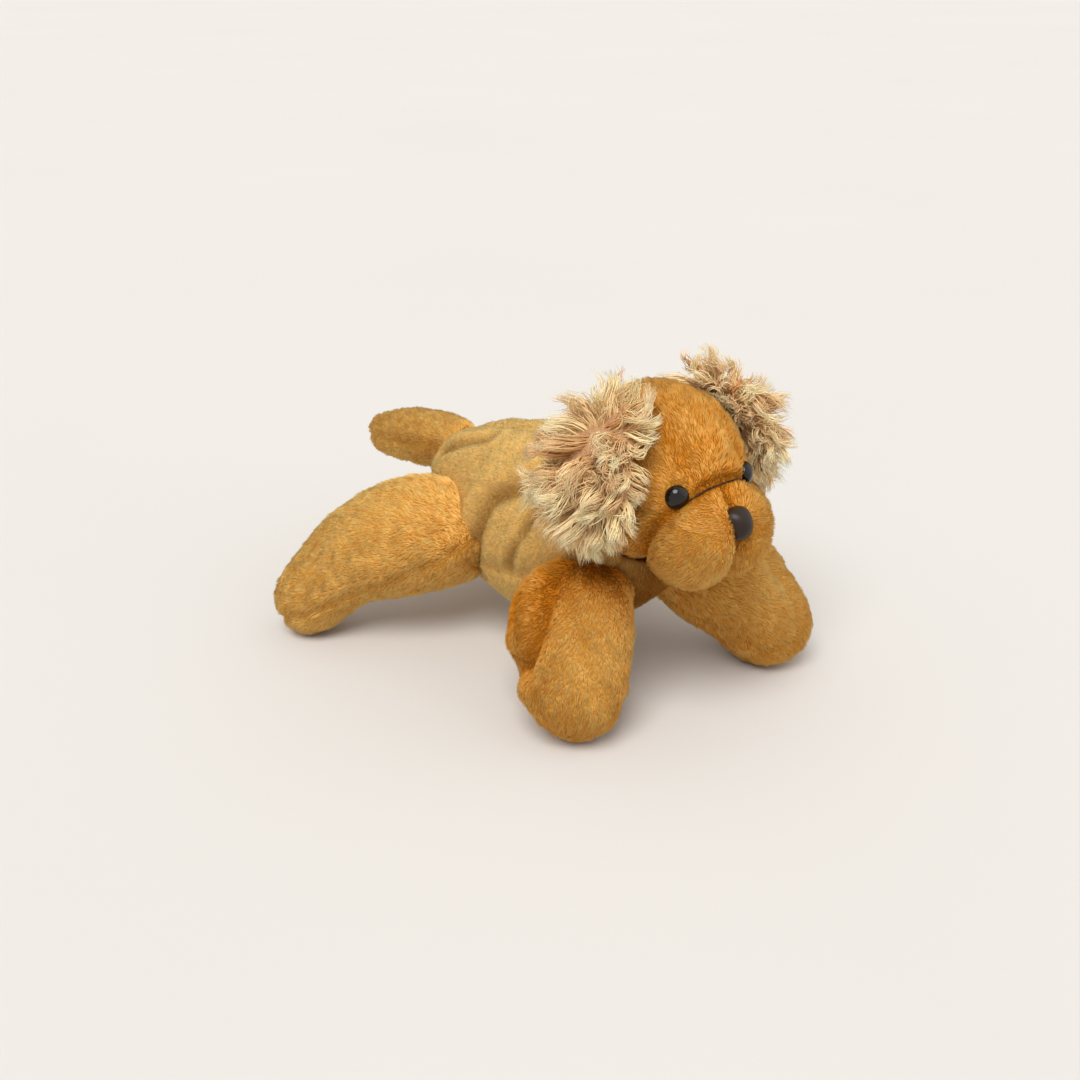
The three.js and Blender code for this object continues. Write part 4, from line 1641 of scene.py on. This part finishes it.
@dataclass
class Nose(Trim):
    """A moulded nose: a rounded triangle, broad above and drawn in below, with a full front."""

    taper: float = 0.34
    squareness: float = 2.5
    back: float = 0.25
    shank: float = 0.3

    def model(self, local: np.ndarray) -> bmesh.types.BMesh:
        """Press a ball into the nose's rounded triangle and give it its shank.

        Args:
            local: The CAD nose's corners, Z outwards and Y up.

        Returns:
            The new bmesh.
        """
        front = local[local[:, 2] > 0]
        half_width, half_height = np.abs(front[:, 0]).max(), np.ptp(front[:, 1]) / 2
        middle, height = (front[:, 1].max() + front[:, 1].min()) / 2, local[:, 2].max()
        bm = bmesh.new()
        bmesh.ops.create_uvsphere(bm, u_segments=self.steps, v_segments=24, radius=1)
        power = self.squareness
        for vert in bm.verts:
            x, y, z = vert.co
            flat = math.hypot(x, y)
            if flat > 1e-6:
                wider = (abs(x / flat) ** power + abs(y / flat) ** power) ** (-1 / power)
                x, y = x * wider, y * wider
            narrow = 1 - self.taper * (0.5 - 0.5 * y)
            vert.co = (
                x * half_width * narrow,
                middle + y * half_height,
                height * z if z > 0 else self.back * height * z,
            )
        radius, foot = self.shank * half_width, local[:, 2].min()
        shank = bmesh.ops.create_cone(
            bm, cap_ends=True, segments=24, radius1=radius, radius2=radius, depth=-foot
        )
        bmesh.ops.translate(bm, verts=shank["verts"], vec=(0, middle, foot / 2))
        return bm


@dataclass
class SunkenThread:
    """A line of dark thread pulled into one of the head's sunken seams."""

    name: str
    head: Head
    mouth: bool
    thickness: float = 0.6 * MM
    lift: float = 0.5 * MM
    seam_reach: float = 1.2 * MM
    eye_clear: float = 1 * MM
    stations: int = 10
    smoothing: float = 0.8

    def track(self) -> np.ndarray:
        """Follow the seam along the skin.

        Returns:
            The seam's points in order, smoothed.
        """
        surface = self.head.surface
        gap, pair = self.head.seams(surface.points)
        bridge, mouth = self.head.seam_kinds(pair)
        facing = 0.05 if self.mouth else 0.2
        on = (mouth if self.mouth else bridge) & (gap < self.seam_reach) & (surface.normals[:, 1] < facing)
        if self.mouth:
            on &= surface.points[:, 2] < node_points("nose")[:, 2].mean()
            key = -surface.points[:, 2]
        else:
            eyes = np.abs(node_points("eye_right", "eye_left")[:, 0])
            on &= np.abs(surface.points[:, 0]) < eyes.mean() - self.eye_clear
            on &= surface.points[:, 2] > node_points("nose")[:, 2].max()
            key = surface.points[:, 0]
        points, key = surface.points[on] + surface.normals[on] * self.lift, key[on]
        steps = np.linspace(key.min(), key.max(), self.stations)
        spread = (steps[1] - steps[0]) * self.smoothing
        weights = np.exp(-(((steps[:, None] - key[None]) / spread) ** 2))
        return weights @ points / weights.sum(axis=1, keepdims=True)

    def build(self) -> None:
        """Lay the thread as a round tube and tie it to the head."""
        track = self.track()
        curve = bpy.data.curves.new(self.name, "CURVE")
        curve.dimensions = "3D"
        spline = curve.splines.new("NURBS")
        spline.points.add(len(track) - 1)
        spline.points.foreach_set("co", np.c_[track, np.ones(len(track))].ravel())
        spline.use_endpoint_u = True
        curve.bevel_depth, curve.bevel_resolution, curve.use_fill_caps = self.thickness / 2, 2, True
        lay = bpy.data.objects.new(self.name, curve)
        bpy.context.scene.collection.objects.link(lay)
        mesh = settled(lay)
        bpy.data.objects.remove(lay)
        thread = new_piece(self.name, mesh, Cupboard.material(DARK_THREAD))
        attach(thread, "head")
        log_faces(thread)


@dataclass
class Studio:
    """A plain pale floor, soft light and a camera at the photograph's angle.

    The sky gives sky_light to the toy; where it is seen, also in a reflection, it is as bright as sky_seen.
    Each lamp has a name, an azimuth, an elevation, a spread and a power.
    """

    LAMPS = (("key", -58, 55, 35, 2.35), ("fill", 40, 35, 70, 0.4))

    azimuth: float = -40
    elevation: float = 25
    distance: float = 0.600
    aim: tuple[float, float, float] = (-4.318 * MM, -10.419 * MM, 45 * MM)
    lens: float = 46
    sensor: float = 36
    clip: tuple[float, float] = (0.01, 50)
    floor_colour: str = "#d8d4ce"
    floor_mottle: str = "#dcd8d3"
    mottle_size: float = 1 / 3
    floor_reach: float = 9
    sky_colour: str = "#fbfaf8"
    sky_light: float = 0.6
    sky_seen: float = 0.86
    lamp_distance: float = 2

    def sky(self) -> None:
        """Light the room evenly, with a paler ground behind the toy than the light that falls on it."""
        world = bpy.data.worlds.new("soft daylight room")
        bpy.context.scene.world = world
        world.use_nodes = True
        tree = world.node_tree
        tree.nodes.clear()
        path = add_node(tree, "ShaderNodeLightPath")
        seen = path.outputs["Is Camera Ray"]
        for ray in ("Is Glossy Ray", "Is Transmission Ray"):
            inputs = {0: seen, 1: path.outputs[ray]}
            seen = add_node(tree, "ShaderNodeMath", inputs, operation="MAXIMUM").outputs[0]
        levels = {0: seen, 2: self.sky_light, 3: self.sky_seen}
        level = add_node(tree, "ShaderNodeMix", levels, data_type="FLOAT")
        inputs = {"Color": linear(self.sky_colour), "Strength": level.outputs[0]}
        light = add_node(tree, "ShaderNodeBackground", inputs)
        add_node(tree, "ShaderNodeOutputWorld", {"Surface": light.outputs["Background"]})

    def floor(self) -> None:
        """Lay the floor: a matt pale sheet with a trace of mottle."""
        material, tree = new_material("matt paper floor")
        mottle = noise(tree, self.mottle_size)
        tone = mixed(tree, mottle, linear(self.floor_colour), linear(self.floor_mottle))
        surfaced(tree, {"Base Color": tone, "Roughness": 0.95})
        bm = bmesh.new()
        bmesh.ops.create_grid(bm, x_segments=4, y_segments=4, size=self.floor_reach)
        new_piece("floor", mesh_from(bm, "floor"), material)

    def hang(
        self, name: str, data: bpy.types.ID, azimuth: float, elevation: float, distance: float
    ) -> bpy.types.Object:
        """Put a lamp or a camera round the aim and turn it there.

        Args:
            name: The object's name.
            data: Its lamp or camera.
            azimuth: 0 is in front of the toy, 90 on its left.
            elevation: Degrees above the horizon.
            distance: Metres from the aim.

        Returns:
            The new object.
        """
        a, e = math.radians(azimuth), math.radians(elevation)
        way = Vector((math.sin(a) * math.cos(e), -math.cos(a) * math.cos(e), math.sin(e)))
        hung = bpy.data.objects.new(name, data)
        hung.location = Vector(self.aim) + way * distance
        hung.rotation_euler = (Vector(self.aim) - hung.location).to_track_quat("-Z", "Y").to_euler()
        bpy.context.scene.collection.objects.link(hung)
        return hung

    def lamp(self, name: str, azimuth: float, elevation: float, spread: float, power: float) -> None:
        """Hang one broad, far lamp that lights the toy and all of the floor alike.

        Args:
            name: The lamp's name.
            azimuth: Its bearing, as the camera's.
            elevation: Its height above the horizon, in degrees.
            spread: How wide it looks from the toy, in degrees; a wide lamp casts soft shadows.
            power: Its light on a facing surface, in watts per square metre.
        """
        light = bpy.data.lights.new(name, "SUN")
        light.energy, light.angle = power, math.radians(spread)
        self.hang(name, light, azimuth, elevation, self.lamp_distance)

    def build(self) -> None:
        """Set the whole studio up."""
        scene = bpy.context.scene
        scene.view_settings.view_transform = "Standard"
        self.sky()
        self.floor()
        for lamp in self.LAMPS:
            self.lamp(*lamp)
        camera = bpy.data.cameras.new("camera")
        camera.lens, camera.sensor_width, camera.sensor_fit = self.lens, self.sensor, "HORIZONTAL"
        camera.clip_start, camera.clip_end = self.clip
        scene.camera = self.hang("camera", camera, self.azimuth, self.elevation, self.distance)


# Where the photograph shows the cloth pulled into folds, on the right side.
FLANK_FOLDS = (
    Fold(4.5, 4.2, ((-24, -34, 86), (-29, -22, 79), (-32, -12, 72), (-35, -7, 60), (-36, -3, 48))),
    Fold(2.4, 2.2, ((-31, -41, 75), (-33, -37, 69), (-34, -34, 63), (-36, -30, 55), (-34, -24, 44))),
    Fold(2.6, 3.0, ((-20, 41, 75), (-17, 25, 82), (-14, 11, 88))),
)
ELBOW_FOLD = Fold(
    5.5,
    4.2,
    (
        (-44, -65, 62), (-53, -72, 56), (-59, -75, 49), (-62, -75, 41),
        (-65, -74, 33), (-64, -69, 29), (-60, -63, 27),
    ),
)
# Fuller places and lighter or deeper nap; on the forelegs and the chest the tone is painted light and painted
# shade. Those of the legs are given for the right side.
FORELEG_TOUCHES = (
    # Painted shade on the upper arm's outer bulge.
    Touch((-56, -58, 48), 13, lift=3.0, tone=-0.45),
    Touch((-66, -83, 18), 10, lift=2.5),
    # Painted shade on the leg's top, under the head.
    Touch((-26, -66, 62), 17, tone=-0.6),
    # Painted light on the leg's lit front.
    Touch((-47, -94, 40), 15, tone=0.42),
    Touch((-52, -102, 22), 9, lift=0.8, tone=0.25),
)
# Painted shade on the chest and throat, under the muzzle.
CHEST_PAINTED_SHADE = (Touch((0, -80, 54), 26, tone=-0.95), Touch((0, -60, 30), 20, tone=-0.4))
HINDLEG_TOUCHES = (Touch((-42, 22, 69), 14, lift=3.5), Touch((-70, 36, 60), 24, tone=0.15))
HEAD_TOUCHES = (
    Touch((-8, -100, 122), 24, tone=-0.16),
    Touch((-17, -118, 69), 11, tone=0.2),
    Touch((0, -116, 102), 12, tone=-0.15),
    Touch((10, -122, 78), 9, lift=1.2),
    Touch((-12, -122, 80), 10, lift=0.8, tone=0.1),
    Touch((-9, -119, 91), 6, lift=1.2),
    Touch((9, -110, 104), 7, lift=1.8),
)
# The nap is trimmed where head and torso come nearer than this.
NECK_TRIM = 5 * MM
SEED_STEP = 50


def sewn_forms() -> dict[str, StuffedForm]:
    """List the toy's stuffed forms.

    Returns:
        The forms by name.
    """
    forms: list[StuffedForm] = [
        Torso(
            "torso", "torso", ("torso_right_panel", "torso_left_panel", "torso_belly_panel"),
            ("torso_filling",), PALE, CLOSE, 101, tone=0.9,
            folds=tuple(fold.on(side) for fold in FLANK_FOLDS for side in Side),
            touches=CHEST_PAINTED_SHADE, fold_shade=0.62, trim=NECK_TRIM,
        ),
        Head(
            "head", "head",
            (
                "head_crown_panel", "head_right_panel", "head_left_panel",
                "muzzle_right_panel", "muzzle_left_panel",
            ),
            ("head_filling",), GOLDEN, FACE, 202, voxel=3.0 * MM, softness=3,
            touches=HEAD_TOUCHES, trim=NECK_TRIM,
        ),
    ]
    for side, more in zip(Side, (0, SEED_STEP)):
        fore, hind, ear = (f"{part}_{side.value}" for part in ("foreleg", "hindleg", "ear"))
        forms += [
            StuffedForm(
                fore, fore, (f"{fore}_inner_panel", f"{fore}_outer_panel"), (f"{fore}_filling",),
                GOLDEN, SHORT, 303 + more, sewn_to="torso", tone=0.48,
                folds=(ELBOW_FOLD.on(side),), touches=tuple(t.on(side) for t in FORELEG_TOUCHES),
            ),
            StuffedForm(
                hind, hind, (f"{hind}_upper_panel", f"{hind}_lower_panel"), (f"{hind}_filling",),
                GOLDEN, SHORT, 404 + more, sewn_to="torso", tone=0.76,
                touches=tuple(t.on(side) for t in HINDLEG_TOUCHES),
            ),
            Ear(
                ear, ear, (f"{ear}_pile", f"{ear}_lining"), (), SHAGGY, EYELASH, 505 + more,
                sewn_to="head", sewn_depth=2 * MM, sewn_reach=10 * MM,
                sink=1.0 * MM, voxel=2.6 * MM, fill=0.3, side=side,
            ),
        ]
    forms.append(
        StuffedForm(
            "tail", "tail", ("tail_top_panel", "tail_under_panel"), ("tail_filling",),
            GOLDEN, SHORT, 606, sewn_to="torso", tone=0.68,
        )
    )
    forms.append(NeckPad("neck", "neck", ("neck_pad",), (), PALE, CLOSE, 707, voxel=2.5 * MM, softness=2))
    return {form.name: form for form in forms}


def finish_washers() -> None:
    """Give the washers inside the head, which keep their CAD shapes, their plastic."""
    plastic = Cupboard.material(WHITE_WASHER)
    for _, washer in Head.TRIMS:
        materials = frame["nodes"][washer].data.materials
        materials.clear()
        materials.append(plastic)


def main() -> None:
    """Build the studio and the toy, in order."""
    logging.basicConfig(level=logging.INFO, format="%(name)s: %(message)s")
    Studio().build()
    forms = sewn_forms()
    torso, head = forms["torso"], forms["head"]
    for form in forms.values():
        form.cut()
    Filling.stuff(form for form in forms.values() if len(form.panels) > 1)
    for form in forms.values():
        form.finish_skin()
    limbs = [form for form in forms.values() if form.sewn_to == "torso"]
    for form in forms.values():
        if form is torso:
            form.dress([*limbs, head])
        else:
            form.dress([head if isinstance(form, Ear) else torso])
    for side in Side:
        Eye(f"eye_{side.value}", f"eye_washer_{side.value}", BLACK_EYE, "eye_plastic").build()
    Nose("nose", "nose_washer", BROWN_NOSE, "nose_plastic").build()
    SunkenThread("bridge_thread", head, mouth=False).build()
    SunkenThread("mouth_thread", head, mouth=True).build()
    finish_washers()


if __name__ == "__main__":
    main()
